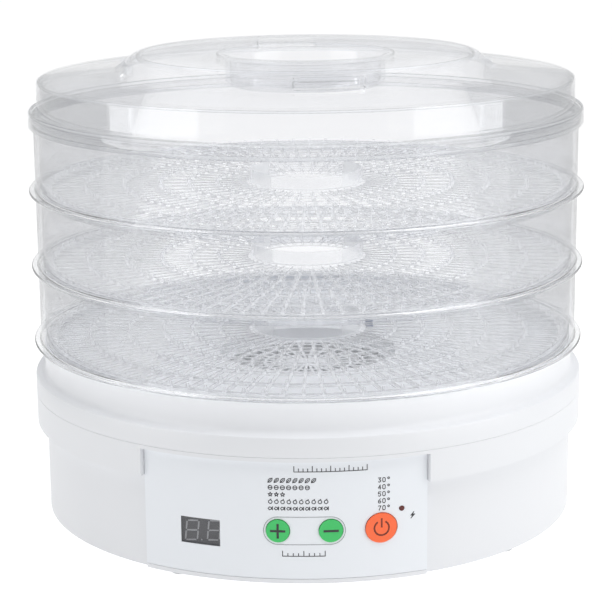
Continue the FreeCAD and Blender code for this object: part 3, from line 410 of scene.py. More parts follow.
component = Finish("component")
shade = component.noise(90)
component.surface(
    Base_Color=component.blend(shade, (0.05, 0.09, 0.20, 1), (0.08, 0.13, 0.26, 1)),
    Roughness=0.36 + shade * 0.16,
)
dress(component, "relay", "capacitor", "terminal_block", "thermal_fuse", "thermostat",
      "temperature_sensor")

# ------------------------------------------------------------------ the lower housing
# The round white wall of the base with its collar, moulded in one. The collar is cut away
# in front for the panel, the sides have upright air slots, and the rear has the cord's hole.


def carved(bm, *cutters, operation="DIFFERENCE"):
    """The bmesh with each cutter bmesh taken out of it, or kept to what they share."""
    mesh = bpy.data.meshes.new("blank")
    bm.to_mesh(mesh)
    bm.free()
    blank = bpy.data.objects.new("blank", mesh)
    scene.collection.objects.link(blank)
    tools = []
    for cutter in cutters:
        tool_mesh = bpy.data.meshes.new("tool")
        cutter.to_mesh(tool_mesh)
        cutter.free()
        tool = bpy.data.objects.new("tool", tool_mesh)
        scene.collection.objects.link(tool)
        step = blank.modifiers.new("cut", "BOOLEAN")
        step.operation = operation
        step.solver = "EXACT"
        step.object = tool
        tools.append(tool)
    bpy.context.view_layer.update()
    result = bmesh.new()
    result.from_mesh(bpy.data.meshes.new_from_object(
        blank.evaluated_get(bpy.context.evaluated_depsgraph_get())))
    for used in [blank] + tools:
        bpy.data.objects.remove(used)
    bmesh.ops.remove_doubles(result, verts=result.verts, dist=1e-6)
    return result


def joined(*parts):
    """One bmesh out of several."""
    whole = bmesh.new()
    for part in parts:
        mesh = bpy.data.meshes.new("part")
        part.to_mesh(mesh)
        part.free()
        whole.from_mesh(mesh)
        bpy.data.meshes.remove(mesh)
    return whole


def brick(turn, near, far, width, low, high):
    """A box that runs out along the radius, in mm, at an angle to the panel's middle."""
    bm = bmesh.new()
    bmesh.ops.create_cube(bm, size=MM, matrix=(
        Matrix.Rotation(turn, 4, "Z")
        @ Matrix.Translation((0, -(near + far) / 2 * MM, (low + high) / 2 * MM))
        @ Matrix.Diagonal((width, far - near, high - low, 1))
    ))
    return bm


def rod_at(x, y, radius, low, high):
    """An upright rod, in mm."""
    bm = bmesh.new()
    bmesh.ops.create_cone(bm, cap_ends=True, segments=32, radius1=radius * MM, radius2=radius * MM,
                          depth=(high - low) * MM,
                          matrix=Matrix.Translation((x * MM, y * MM, (low + high) / 2 * MM)))
    return bm


def rod(turn, level, radius, near, far, segments=48):
    """A rod along Y that crosses the wall at an angle to the panel's middle, in mm."""
    bm = bmesh.new()
    bmesh.ops.create_cone(bm, cap_ends=True, segments=segments, radius1=radius * MM,
                          radius2=radius * MM, depth=(far - near) * MM, matrix=(
        Matrix.Translation((PANEL_RADIUS * math.sin(turn) * MM, -(near + far) / 2 * MM, level * MM))
        @ Matrix.Rotation(math.radians(90), 4, "X")
    ))
    return bm


housing_low, housing_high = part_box("lower_housing")
upper_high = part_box("upper_housing")[1]
panel_low, panel_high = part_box("front_panel")
COLLAR = housing_high.x / MM
BODY = COLLAR - 5.6
BASE = housing_low.z / MM
COLLAR_FOOT = BASE + 52.3
COLLAR_TOP = upper_high.z / MM - 18.3
SEAM = COLLAR_TOP - 11.2
WALL = 2.2
PANEL_RADIUS = -panel_low.y / MM
PANEL_LOW = panel_low.z / MM
PANEL_HIGH = panel_high.z / MM
PANEL_HALF = math.radians(28.7)
RECESS_HALF = math.radians(28.8)

shell = turned([
    (BODY, BASE), (BODY, COLLAR_FOOT), (COLLAR, COLLAR_FOOT), (COLLAR, SEAM - 0.15),
    (COLLAR - 0.25, SEAM), (COLLAR - 2.4, SEAM), (COLLAR - 2.4, SEAM + 6), (COLLAR - 4.6, SEAM + 6),
    (COLLAR - 4.6, COLLAR_FOOT + WALL), (BODY - WALL, COLLAR_FOOT + WALL), (BODY - WALL, BASE),
])
recess = turned([(BODY, COLLAR_FOOT - 1), (COLLAR + 1, COLLAR_FOOT - 1),
                 (COLLAR + 1, PANEL_HIGH + 0.2), (BODY, PANEL_HIGH + 0.2)],
                steps=30, arc=2 * RECESS_HALF, start=-RECESS_HALF)
pocket = turned([(BODY - 6, PANEL_LOW + 3), (BODY + 3, PANEL_LOW + 3),
                 (BODY + 3, PANEL_HIGH + 0.2), (BODY - 6, PANEL_HIGH + 0.2)],
                steps=30, arc=2 * RECESS_HALF - math.radians(4), start=math.radians(2) - RECESS_HALF)
cord_hole = rod(math.pi, 24.0, 6.4, -BODY - 4, -BODY + 6)
air_slots = joined(*[
    brick(side * math.radians(90 + 3.6 * step), BODY - 5, BODY + 3, 3.0, BASE + 8, BASE + 20)
    for side in (-1, 1) for step in range(5)
])
sill = turned([(BODY - 1, BASE), (PANEL_RADIUS, BASE), (PANEL_RADIUS, PANEL_LOW - 0.2),
               (BODY - 1, PANEL_LOW - 0.2)], steps=60, arc=2 * PANEL_HALF, start=-PANEL_HALF)
piece("lower_housing_shell", carved(shell, recess, pocket, cord_hole, air_slots), white, "base",
      "lower_housing", soften=0.5, slot="white_plastic")
piece("panel_sill", sill, white, "base", soften=0.35, slot="white_plastic")

# ------------------------------------------------------------------ the upper housing
# The white shoulder and neck that the trays stand on, with the deck inside it and the
# well of the air outlet. It is screwed to the bottom cover through the housing.

NECK_TOP = upper_high.z / MM
DECK = NECK_TOP - 12.0
OUTLET = 47.0
OUTLET_WELL = OUTLET + 5.0
LEDGE = DECK - 8.0 - 2.5
piece("upper_housing_shell", turned([
    (BODY, NECK_TOP), (BODY, COLLAR_TOP + 3.5), (BODY + 0.3, COLLAR_TOP + 2.0),
    (BODY + 1.1, COLLAR_TOP + 0.9), (BODY + 2.6, COLLAR_TOP + 0.2), (COLLAR - 1.3, COLLAR_TOP),
    (COLLAR - 0.4, COLLAR_TOP - 0.4), (COLLAR, COLLAR_TOP - 1.3), (COLLAR, SEAM + 0.15),
    (COLLAR - 0.25, SEAM), (COLLAR - WALL, SEAM), (COLLAR - WALL, COLLAR_TOP - WALL),
    (BODY - WALL, COLLAR_TOP - WALL), (BODY - WALL, DECK - WALL), (OUTLET_WELL + WALL, DECK - WALL),
    (OUTLET_WELL + WALL, LEDGE - WALL), (OUTLET, LEDGE - WALL), (OUTLET, LEDGE),
    (OUTLET_WELL, LEDGE), (OUTLET_WELL, DECK), (BODY - WALL, DECK), (BODY - WALL, NECK_TOP),
]), white, "base", "upper_housing", soften=0.7, slot="white_plastic")

# ------------------------------------------------------------------ the columns
# Four posts moulded under the deck that take the long screws, so that the two housings and
# the bottom cover hold together.

columns = joined(*[rod_at(135 * math.sin(math.radians(45 + 90 * index)),
                          135 * math.cos(math.radians(45 + 90 * index)), 4.6, 28.0, DECK - WALL)
                   for index in range(4)])
piece("upper_columns", columns, white, "base", soften=0.3, slot="white_plastic")

# ------------------------------------------------------------------ the outlet guard
# A moulded white grille of rings and spokes, dropped on its ledge in the well of the deck.
# The fan's air comes up through it.

guard_low, guard_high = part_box("outlet_guard")
GUARD_LOW = guard_low.z / MM
GUARD_TOP = guard_high.z / MM
GUARD_OUT = guard_high.x / MM
GUARD_BAR = 1.9
guard_parts = [turned(
    [(0.01, GUARD_LOW), (8, GUARD_LOW), (8, GUARD_TOP), (0.01, GUARD_TOP)], steps=48)]
for radius in (16.5, 24.5, 32.5, 40.5):
    guard_parts.append(turned([(radius, GUARD_LOW + 0.3), (radius + GUARD_BAR, GUARD_LOW + 0.3),
                               (radius + GUARD_BAR, GUARD_TOP), (radius, GUARD_TOP)], steps=96))
guard_parts.append(turned([(47.0, GUARD_LOW), (GUARD_OUT, GUARD_LOW), (GUARD_OUT, GUARD_TOP),
                           (47.0, GUARD_TOP)], steps=120))
for index in range(28):
    guard_parts.append(brick(math.tau * index / 28, 7.5, 47.5, GUARD_BAR, GUARD_LOW + 0.4,
                             GUARD_TOP - 0.2))
piece("guard_grille", joined(*guard_parts), white, "base", "outlet_guard", soften=0.25,
      slot="white_plastic")

# ------------------------------------------------------------------ the cord gland
# A black bush with a flange outside and a nut inside, set in the rear wall. The supply
# cord would run through its bore.

gland_low, gland_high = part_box("cord_gland")
GLAND_IN = gland_low.y / MM
GLAND_OUT = gland_high.y / MM
bm = turned([(3.6, GLAND_IN), (6.4, GLAND_IN), (6.4, GLAND_IN + 0.5), (8.0, GLAND_IN + 0.5),
             (8.0, GLAND_IN + 4.4), (6.4, GLAND_IN + 4.8), (6.4, BODY + 0.05), (9.0, BODY + 0.05),
             (9.0, GLAND_OUT - 0.7), (8.3, GLAND_OUT), (4.4, GLAND_OUT), (3.6, GLAND_OUT - 0.8)],
            steps=64)
bmesh.ops.rotate(bm, verts=bm.verts, matrix=Matrix.Rotation(math.radians(-90), 3, "X"))
bmesh.ops.translate(bm, verts=bm.verts, vec=(0, 0, 24.0 * MM))
piece("gland_bush", bm, dark, "base", "cord_gland", soften=0.25, slot="black_plastic")

# ------------------------------------------------------------------ the front panel
# A curved white plate with a printed film, set in the collar's recess. It is open for the
# window, the keys and the lamp, and four posts behind it carry the control board.

PANEL_IN = PANEL_RADIUS - 2.4
KEY_LEVEL = 33.8
KEYS = {"plus": (-0.8, 6.2), "minus": (9.4, 6.2), "power": (19.2, 8.1)}
WINDOW_TURN = -16.3
LAMP_TURN = 23.3
LAMP_LEVEL = 43.3

film = Finish("panel_film")
film_grain = film.noise(1100)
film.surface(
    Base_Color=film.blend(film.noise(8), (0.785, 0.81, 0.845, 1), (0.80, 0.825, 0.86, 1)),
    Roughness=0.34 + film_grain * 0.06,
    Normal=film.bump(film_grain, 0.00006, 0.3),
)
plate = turned([(PANEL_IN, PANEL_LOW), (PANEL_RADIUS, PANEL_LOW), (PANEL_RADIUS, PANEL_HIGH),
                (PANEL_IN, PANEL_HIGH)], steps=72, arc=2 * PANEL_HALF, start=-PANEL_HALF)
pane_low, pane_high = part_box("display_window")
holes = [rod(math.radians(turn), KEY_LEVEL, radius + 0.3, 130, 160, 64)
         for turn, radius in KEYS.values()]
holes.append(rod(math.radians(LAMP_TURN), LAMP_LEVEL, 1.5, 130, 160, 32))
window_hole = bmesh.new()
bmesh.ops.create_cube(window_hole, size=MM, matrix=(
    Matrix.Translation(((pane_low.x + pane_high.x) / 2, -0.148, (pane_low.z + pane_high.z) / 2))
    @ Matrix.Diagonal((21.6, 20, 14.6, 1))))
piece("panel_plate", carved(plate, window_hole, *holes), film, "base", "front_panel", soften=0.3,
      slot="panel_film")
posts = joined(*[rod(math.radians(turn), level, 3.0, 133.05, 150.5, 24)
                 for turn in (-15, 15) for level in (15.4, 51.6)])
piece("panel_posts", posts, film, "base", soften=0.2, slot="panel_film")

# ------------------------------------------------------------------ the panel's print
# Dark grey ink on the film: an outline round the two round keys, small pictures of foods in
# five rows with their settings, a scale over them, and signs for heat and for power.

ink = Finish("ink")
ink_grain = ink.noise(2500)
ink.surface(
    Base_Color=ink.blend(ink_grain, (0.018, 0.018, 0.02, 1), (0.035, 0.035, 0.04, 1)),
    Roughness=0.5 + ink_grain * 0.1,
)
pale_ink = Finish("pale_ink")
pale_grain = pale_ink.noise(2500)
pale_ink.surface(
    Base_Color=pale_ink.blend(pale_grain, (0.30, 0.31, 0.33, 1), (0.36, 0.37, 0.39, 1)),
    Roughness=0.5 + pale_grain * 0.1,
)


def on_panel(radius):
    """A placing rule that wraps (run, level) in mm round a radius."""
    return lambda run, level: Vector((radius * math.sin(run / radius) * MM,
                                      -radius * math.cos(run / radius) * MM, level * MM))


def strokes(lines, width, placing, closed=False):
    """Flat bands of a width along lines of (run, level) points, as one bmesh."""
    bm = bmesh.new()
    for line in lines:
        points = [Vector(point) for point in line]
        if closed:
            points.append(points[0])
        for first, second in zip(points, points[1:]):
            along = second - first
            parts = max(1, math.ceil(along.length / 2.0))
            along.normalize()
            across = Vector((-along.y, along.x)) * width / 2
            first = first - along * width * 0.35
            second = second + along * width * 0.35
            rows = []
            for index in range(parts + 1):
                middle = first.lerp(second, index / parts)
                rows.append([bm.verts.new(placing(*(middle + side * across))) for side in (-1, 1)])
            for row, following in zip(rows, rows[1:]):
                bm.faces.new((row[0], following[0], following[1], row[1]))
    return bm


def printed(name, bm, finish, body, depth=0.04):
    """A printed mark with the thickness of its ink."""
    mark = piece(name, bm, finish, body)
    thicken = mark.modifiers.new("thickness", "SOLIDIFY")
    thicken.thickness = depth * MM
    thicken.offset = 0
    return mark


def placed(shape, run, level, size):
    """The lines of a small picture, scaled and set down."""
    return [[(run + x * size, level + y * size) for x, y in line] for line in shape]


def disc_line(x, y, radius, count=10):
    """A closed line round a point."""
    return [(x + radius * math.cos(math.tau * step / count),
             y + radius * math.sin(math.tau * step / count))
            for step in range(count + 1)]


INK_RADIUS = PANEL_RADIUS + 0.05
DIGITS = {
    "0": [(0, 0.2), (0, 0.8), (0.15, 1), (0.45, 1), (0.6, 0.8), (0.6, 0.2), (0.45, 0),
          (0.15, 0), (0, 0.2)],
    "3": [(0, 1), (0.6, 1), (0.25, 0.58), (0.6, 0.4), (0.55, 0.1), (0.3, 0), (0, 0.1)],
    "4": [(0.45, 0), (0.45, 1), (0, 0.3), (0.6, 0.3)],
    "5": [(0.6, 1), (0.05, 1), (0, 0.55), (0.4, 0.62), (0.6, 0.4), (0.55, 0.1), (0.3, 0), (0, 0.1)],
    "6": [(0.5, 1), (0.1, 0.6), (0, 0.25), (0.15, 0), (0.45, 0), (0.6, 0.25), (0.45, 0.5), (0.05, 0.4)],
    "7": [(0, 1), (0.6, 1), (0.2, 0)],
}
LEAF = [[(0, 0), (0.1, 0.55), (0.5, 0.95), (1, 1), (0.95, 0.5), (0.55, 0.1), (0, 0), (0.7, 0.7)]]
NUT = [disc_line(0.5, 0.5, 0.48), [(0.2, 0.5), (0.8, 0.5)]]
STAR = [[(0.5 + 0.5 * (1 if step % 2 == 0 else 0.45) * math.sin(math.pi * step / 5),
          0.5 + 0.5 * (1 if step % 2 == 0 else 0.45) * math.cos(math.pi * step / 5))
         for step in range(11)]]
APPLE = [disc_line(0.5, 0.4, 0.42), [(0.5, 0.8), (0.7, 1.05)]]
FISH = [[(0, 0.5), (0.3, 0.85), (0.65, 0.75), (1, 0.15), (1, 0.9), (0.65, 0.3), (0.3, 0.15),
         (0, 0.5)]]
ROWS = ((LEAF, 8, 60.3, "30"), (NUT, 7, 56.4, "40"), (STAR, 3, 52.6, "50"), (APPLE, 10, 48.8, "60"),
        (FISH, 10, 44.9, "70"))
marks = []
row_start = math.radians(-2.6) * PANEL_RADIUS
number_start = math.radians(18.6) * PANEL_RADIUS
for shape, count, level, setting in ROWS:
    for index in range(count):
        marks += placed(shape, row_start + 3.25 * index, level, 2.3)
    for index, digit in enumerate(setting):
        marks += placed([DIGITS[digit]], number_start + 2.4 * index, level - 1.4, 2.3)
    marks += placed([disc_line(0, 0, 1, 8)], number_start + 5.6, level + 0.5, 0.5)
scale_start = math.radians(2.4) * PANEL_RADIUS
for index in range(17):
    tall = 3.0 if index % 4 == 0 else 1.7
    marks.append([(scale_start + 2.4 * index, 66.2), (scale_start + 2.4 * index, 66.2 + tall)])
marks.append([(scale_start, 66.2), (scale_start + 38.4, 66.2)])
for index in range(9):
    tall = 2.8 if index % 4 == 0 else 1.6
    marks.append([(0.2 + 2.8 * index, 19.8), (0.2 + 2.8 * index, 19.8 + tall)])
marks.append([(0.2, 19.8), (22.6, 19.8)])
bolt_run = math.radians(25.6) * PANEL_RADIUS
marks += placed([[(0.6, 1), (0.1, 0.45), (0.5, 0.5), (0.1, 0), (0.75, 0.6), (0.35, 0.6), (0.6, 1)]],
                bolt_run - 1.4, 37.2, 3.4)
printed("panel_marks", strokes(marks, 0.42, on_panel(INK_RADIUS)), ink, "base")

pill_left = math.radians(-0.8) * PANEL_RADIUS
pill_right = math.radians(9.4) * PANEL_RADIUS
PILL = 7.6
pill = [(pill_right + PILL * math.sin(math.pi * step / 16),
         KEY_LEVEL + PILL * math.cos(math.pi * step / 16))
        for step in range(17)]
pill += [(pill_left - PILL * math.sin(math.pi * step / 16),
          KEY_LEVEL - PILL * math.cos(math.pi * step / 16))
         for step in range(17)]
printed("pill_outline", strokes([pill], 0.35, on_panel(INK_RADIUS), closed=True), pale_ink, "base")

# ------------------------------------------------------------------ the display
# A two-digit module on the control board, with pale segments on its dark face, seen
# through a smoked pane that is clipped into the panel. The display is switched off, but
# its segments and face are given a painted glow that lightens them.

segment = Finish("segment")
segment_grain = segment.noise(1500)
segment.surface(
    Base_Color=segment.blend(segment_grain, (0.62, 0.63, 0.64, 1), (0.70, 0.71, 0.72, 1)),
    Roughness=0.5 + segment_grain * 0.1,
)
# Painted glow: the segments of the switched-off display get an emission that lightens them.
segment.shader.inputs["Emission Color"].default_value = (0.75, 0.76, 0.78, 1)
segment.shader.inputs["Emission Strength"].default_value = 0.45
face = Finish("display_face")
face_grain = face.noise(1500)
face.surface(
    Base_Color=face.blend(face_grain, (0.07, 0.07, 0.075, 1), (0.09, 0.09, 0.095, 1)),
    Roughness=0.4 + face_grain * 0.1,
)
# Painted glow: the dark face, and the module and bezel that share this finish, get a faint emission
# that lightens them though the display is off.
face.shader.inputs["Emission Color"].default_value = (0.17, 0.17, 0.175, 1)
face.shader.inputs["Emission Strength"].default_value = 0.8
dress(face, "display_module")
module_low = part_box("display_module")[0]
FACE_Y = module_low.y


def on_face(run, level):
    """Set a point of the digits on the module's face, leaning like its digits."""
    return Vector(((run + 0.10 * (level - 23)) * MM, FACE_Y - 0.00046, level * MM))


bezel = bmesh.new()
bmesh.ops.create_cube(bezel, size=MM, matrix=(
    Matrix.Translation((-45.3 * MM, FACE_Y - 0.0002, 28.4 * MM)) @ Matrix.Diagonal((26, 0.4, 19, 1))))
piece("display_bezel", bezel, face, "base", slot="display_black")



digit_lines = []
for left in (-53.2, -41.4):
    for bar_level in (23.2, 28.6, 34.0):
        digit_lines.append([(left + 0.8, bar_level), (left + 5.6, bar_level)])
    for low_level in (23.9, 29.3):
        digit_lines.append([(left, low_level), (left, low_level + 4.0)])
        digit_lines.append([(left + 6.4, low_level), (left + 6.4, low_level + 4.0)])
digit_lines.append([(-44.5, 23.1), (-44.4, 23.2)])
printed("display_digits", strokes(digit_lines, 0.8, on_face), segment, "base")

pane_finish = Finish("smoked_window")
pane_fresnel = pane_finish.node("ShaderNodeFresnel", {}, {"IOR": 1.49})
pane_haze = pane_finish.noise(400)
pane_finish.surface(
    Base_Color=pane_finish.blend(pane_haze, (0.30, 0.31, 0.32, 1), (0.34, 0.35, 0.36, 1)),
    Roughness=0.08 + pane_haze * 0.05,
)
pane_tint = pane_finish.node("ShaderNodeBsdfTransparent", {}, {"Color": (0.80, 0.80, 0.81, 1)})
pane_finish.feed(pane_finish.tree.nodes["Material Output"], {"Surface": pane_finish.node(
    "ShaderNodeMixShader", {}, {"Fac": pane_fresnel * 0.8 + 0.04, "Shader": pane_tint,
                                "Shader_001": Wire(pane_finish, pane_finish.shader.outputs[0])})})
pane = turned([(PANEL_IN, 23.1), (PANEL_RADIUS - 0.3, 23.1), (PANEL_RADIUS - 0.3, 37.5),
               (PANEL_IN, 37.5)], steps=16, arc=math.radians(11), start=math.radians(WINDOW_TURN - 5.5))
beam = bmesh.new()
bmesh.ops.create_cube(beam, size=MM, matrix=(
    Matrix.Translation(((pane_low.x + pane_high.x) / 2, -0.148, 30.3 * MM))
    @ Matrix.Diagonal((pane_high.x / MM - pane_low.x / MM, 30, 30, 1))))
piece("window_pane", carved(pane, beam, operation="INTERSECT"), pane_finish, "base", "display_window",
      slot="smoked_window")

# ------------------------------------------------------------------ the keys and the lamp
# Three moulded keys that follow the panel's curve and stand a little proud, each with a
# flange behind the plate and a printed sign. The lamp is a dark red lens, unlit.

green = Finish("green_key")
green_haze = green.noise(30)
green.surface(
    Base_Color=green.blend(green_haze, (0.035, 0.50, 0.115, 1), (0.045, 0.54, 0.135, 1)),
    Roughness=0.30 + green_haze * 0.08,
)
orange = Finish("orange_key")
orange_haze = orange.noise(30)
orange.surface(
    Base_Color=orange.blend(orange_haze, (0.93, 0.13, 0.03, 1), (0.96, 0.16, 0.045, 1)),
    Roughness=0.30 + orange_haze * 0.08,
)
sign_brown = Finish("sign_brown")
sign_brown_grain = sign_brown.noise(2500)
sign_brown.surface(
    Base_Color=sign_brown.blend(sign_brown_grain, (0.16, 0.02, 0.005, 1), (0.20, 0.03, 0.01, 1)),
    Roughness=0.5 + sign_brown_grain * 0.1,
)
KEY_FACE = PANEL_RADIUS + 0.8
SIGNS = {
    "plus": [[(-3.6, 0), (3.6, 0)], [(0, -3.6), (0, 3.6)]],
    "minus": [[(-3.6, 0), (3.6, 0)]],
    "power": [[(4.0 * math.sin(math.radians(turn)), 4.0 * math.cos(math.radians(turn)))
               for turn in range(35, 330, 18)], [(0, 0.6), (0, 5.0)]],
}
for name, (turn, radius) in KEYS.items():
    finish = orange if name == "power" else green
    outside = turned([(KEY_FACE, KEY_LEVEL - 14), (KEY_FACE + 30, KEY_LEVEL - 14),
                      (KEY_FACE + 30, KEY_LEVEL + 14), (KEY_FACE, KEY_LEVEL + 14)],
                     steps=60, arc=math.radians(30), start=math.radians(turn - 15))
    behind = turned([(PANEL_IN - 0.3, KEY_LEVEL - 14), (KEY_FACE + 30, KEY_LEVEL - 14),
                     (KEY_FACE + 30, KEY_LEVEL + 14), (PANEL_IN - 0.3, KEY_LEVEL + 14)],
                    steps=60, arc=math.radians(30), start=math.radians(turn - 15))
    flank = PANEL_RADIUS * math.cos(math.radians(abs(turn)) + radius / PANEL_RADIUS)
    cap = carved(rod(math.radians(turn), KEY_LEVEL, radius, flank - 6, 164, 96), outside)
    flange = carved(rod(math.radians(turn), KEY_LEVEL, radius + 1.6, flank - 5.4, 164, 64), behind)
    stem = rod(math.radians(turn), KEY_LEVEL, 2.2, 138.45, flank - 4, 24)
    piece(f"{name}_cap", joined(cap, flange, stem), finish, f"{name}_key", f"{name}_button",
          soften=0.45, slot=f"{'orange' if name == 'power' else 'green'}_key")
    run = KEY_FACE * math.radians(turn)
    lines = [[(run + x, KEY_LEVEL + y) for x, y in line] for line in SIGNS[name]]
    printed(f"{name}_sign", strokes(lines, 1.25 if name != "power" else 0.9, on_panel(KEY_FACE + 0.03)),
            sign_brown if name == "power" else ink, f"{name}_key")

lamp = Finish("lamp_lens")
lamp_haze = lamp.noise(200)
lamp.surface(
    Base_Color=lamp.blend(lamp_haze, (0.10, 0.012, 0.010, 1), (0.14, 0.02, 0.015, 1)),
    Roughness=0.18 + lamp_haze * 0.08,
)
dress(lamp, "power_lamp")

# ------------------------------------------------------------------ the trays
# Three clear mouldings. Each has an upright wall on a flange, a skirt that nests in the
# piece below, a floor of fine ribs and rings with a pin at every crossing, and a chimney.


def clear_finish(name):
    """A clear plastic's surface, with its haze and the rule that lamps shine through it."""
    finish = Finish(name)
    finish.haze = finish.noise(60, 2.0)
    finish.facing = finish.node("ShaderNodeLayerWeight", {}, {"Blend": 0.5}, "Facing")
    finish.gloss = finish.node("ShaderNodeFresnel", {}, {"IOR": 1.49})
    return finish


def let_lamps_through(finish, shaded):
    """End the tree: lamps shine through, and all else sees the shaded surface."""
    lamp_ray = finish.node("ShaderNodeLightPath", {}, {}, "Is Shadow Ray")
    opening = finish.node("ShaderNodeBsdfTransparent", {}, {"Color": (0.992, 0.993, 0.995, 1)})
    ended = finish.node("ShaderNodeMixShader", {}, {
        "Fac": lamp_ray, "Shader": shaded, "Shader_001": opening})
    finish.feed(finish.tree.nodes["Material Output"], {"Surface": ended})


def veil(finish, tint, share):
    """A see-through surface that shows a share of its own shader."""
    see_through = finish.node("ShaderNodeBsdfTransparent", {}, {"Color": tint})
    own = Wire(finish, finish.shader.outputs[0])
    let_lamps_through(finish, finish.node("ShaderNodeMixShader", {}, {
        "Fac": share, "Shader": see_through, "Shader_001": own}))


clear = clear_finish("clear_plastic")
# Painted shade: the wall's surface turns darker and more opaque where it is seen edge-on, standing in
# for the dark edges that refraction gives clear plastic.
edge = clear.join("POWER", clear.facing, 10)
clear.surface(
    Base_Color=clear.blend(edge, (0.78, 0.785, 0.797, 1), (0.33, 0.34, 0.35, 1)),
    Roughness=0.03 + clear.haze * 0.03,
    Metallic=0.96 + clear.haze * 0.04,
    Normal=clear.bump(clear.noise(35, 1.0), 0.0004, 0.08),
)
veil(clear, (0.972, 0.973, 0.977, 1), clear.gloss * 0.5 + edge * 0.4)

clear_detail = clear_finish("clear_detail")
clear_detail.surface(
    Base_Color=clear_detail.blend(clear_detail.haze, (0.80, 0.805, 0.815, 1), (0.87, 0.875, 0.885, 1)),
    Roughness=0.22 + clear_detail.haze * 0.1,
)
veil(clear_detail, (0.975, 0.976, 0.979, 1), 0.10 + clear_detail.gloss * 0.4)

clear_skirt = clear_finish("clear_skirt")
# Painted shade: the clear skirt ribs show a dark grey that grows where they are seen edge-on, standing
# in for the dark lines that refraction gives.
clear_skirt.surface(
    Base_Color=clear_skirt.blend(clear_skirt.haze, (0.30, 0.31, 0.32, 1), (0.36, 0.37, 0.38, 1)),
    Roughness=0.15 + clear_skirt.haze * 0.1,
)
veil(clear_skirt, (0.98, 0.982, 0.988, 1), clear_skirt.join("POWER", clear_skirt.facing, 3) * 0.5)

clear_rim = clear_finish("clear_rim")
clear_rim.surface(
    Base_Color=clear_rim.blend(clear_rim.haze, (0.96, 0.965, 0.975, 1), (0.98, 0.985, 0.99, 1)),
    Roughness=0.06 + clear_rim.haze * 0.06,
)
clear_rim.shader.inputs["Transmission Weight"].default_value = 1.0
clear_rim.shader.inputs["IOR"].default_value = 1.49
let_lamps_through(clear_rim, Wire(clear_rim, clear_rim.shader.outputs[0]))

TRAY_NAMES = ("tray_bottom", "tray_middle", "tray_top")
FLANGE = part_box("tray_bottom")[1].x / MM
SKIRT_DEPTH = 4.6
TRAY_OUT = BODY + 1.9
TRAY_IN = TRAY_OUT - 3.0
SKIRT_OUT = BODY - WALL - 0.4
SKIRT_IN = SKIRT_OUT - 1.6
FLOOR = 1.8
CHIMNEY = 33.0
SECTORS = 44
RINGS = (52.0, 68.5, 85.0, 105.5, 128.0)
RIB = 1.5
RING_BAR = 1.6
PIN_HEIGHT = 2.6


def floor_grid(level):
    """The ribbed floor: one sector of bars, repeated round the axis and given its thickness."""
    bm = bmesh.new()
    spans = [(CHIMNEY - 1.6, CHIMNEY + 1.5)]
    spans += [(radius - RING_BAR / 2, radius + RING_BAR / 2) for radius in RINGS]
    spans += [(SKIRT_IN - 3.0, TRAY_IN + 0.2)]
    radii = [radius for span in spans for radius in span]
    step = math.pi / SECTORS
    rows = []
    for radius in radii:
        turns = (0, RIB / radius, step, step + RIB / radius, 2 * step)
        rows.append([bm.verts.new((radius * math.sin(turn) * MM, -radius * math.cos(turn) * MM,
                                   level * MM)) for turn in turns])
    for index, (inner, outer) in enumerate(zip(rows, rows[1:])):
        in_ring = index % 2 == 0
        for column in range(4):
            fine = radii[index] >= RINGS[2]
            in_rib = column == 0 or (column == 2 and fine)
            if in_ring or in_rib:
                bm.faces.new((inner[column], inner[column + 1], outer[column + 1], outer[column]))
    sector = bm.verts[:] + bm.edges[:] + bm.faces[:]
    bmesh.ops.spin(bm, geom=sector, axis=(0, 0, 1), cent=(0, 0, 0), angle=math.tau - 2 * step,
                   steps=SECTORS - 1, use_duplicate=True)
    bmesh.ops.remove_doubles(bm, verts=bm.verts, dist=2e-5)
    bmesh.ops.recalc_face_normals(bm, faces=bm.faces)
    return bm


def floor_pins(level):
    """A short round pin at each crossing of a rib and a ring."""
    bm = bmesh.new()
    for radius in RINGS + (SKIRT_IN - 2.4,):
        count = SECTORS * (2 if radius >= RINGS[2] else 1)
        for index in range(count):
            turn = math.tau * index / count + RIB / radius / 2
            bmesh.ops.create_cone(
                bm, cap_ends=True, segments=8, radius1=1.25 * MM, radius2=0.85 * MM,
                depth=PIN_HEIGHT * MM,
                matrix=Matrix.Rotation(turn, 4, "Z") @ Matrix.Translation(
                    (0, -radius * MM, (level + PIN_HEIGHT / 2 - 0.2) * MM)))
    return bm


def skirt_ribs(level):
    """Short upright ribs round the inside of the skirt."""
    return joined(*[
        brick(math.tau * index / 72, SKIRT_IN - 1.2, SKIRT_IN - 0.1, 9.0,
              level - SKIRT_DEPTH + 0.3, level - 0.1)
        for index in range(72)
    ])


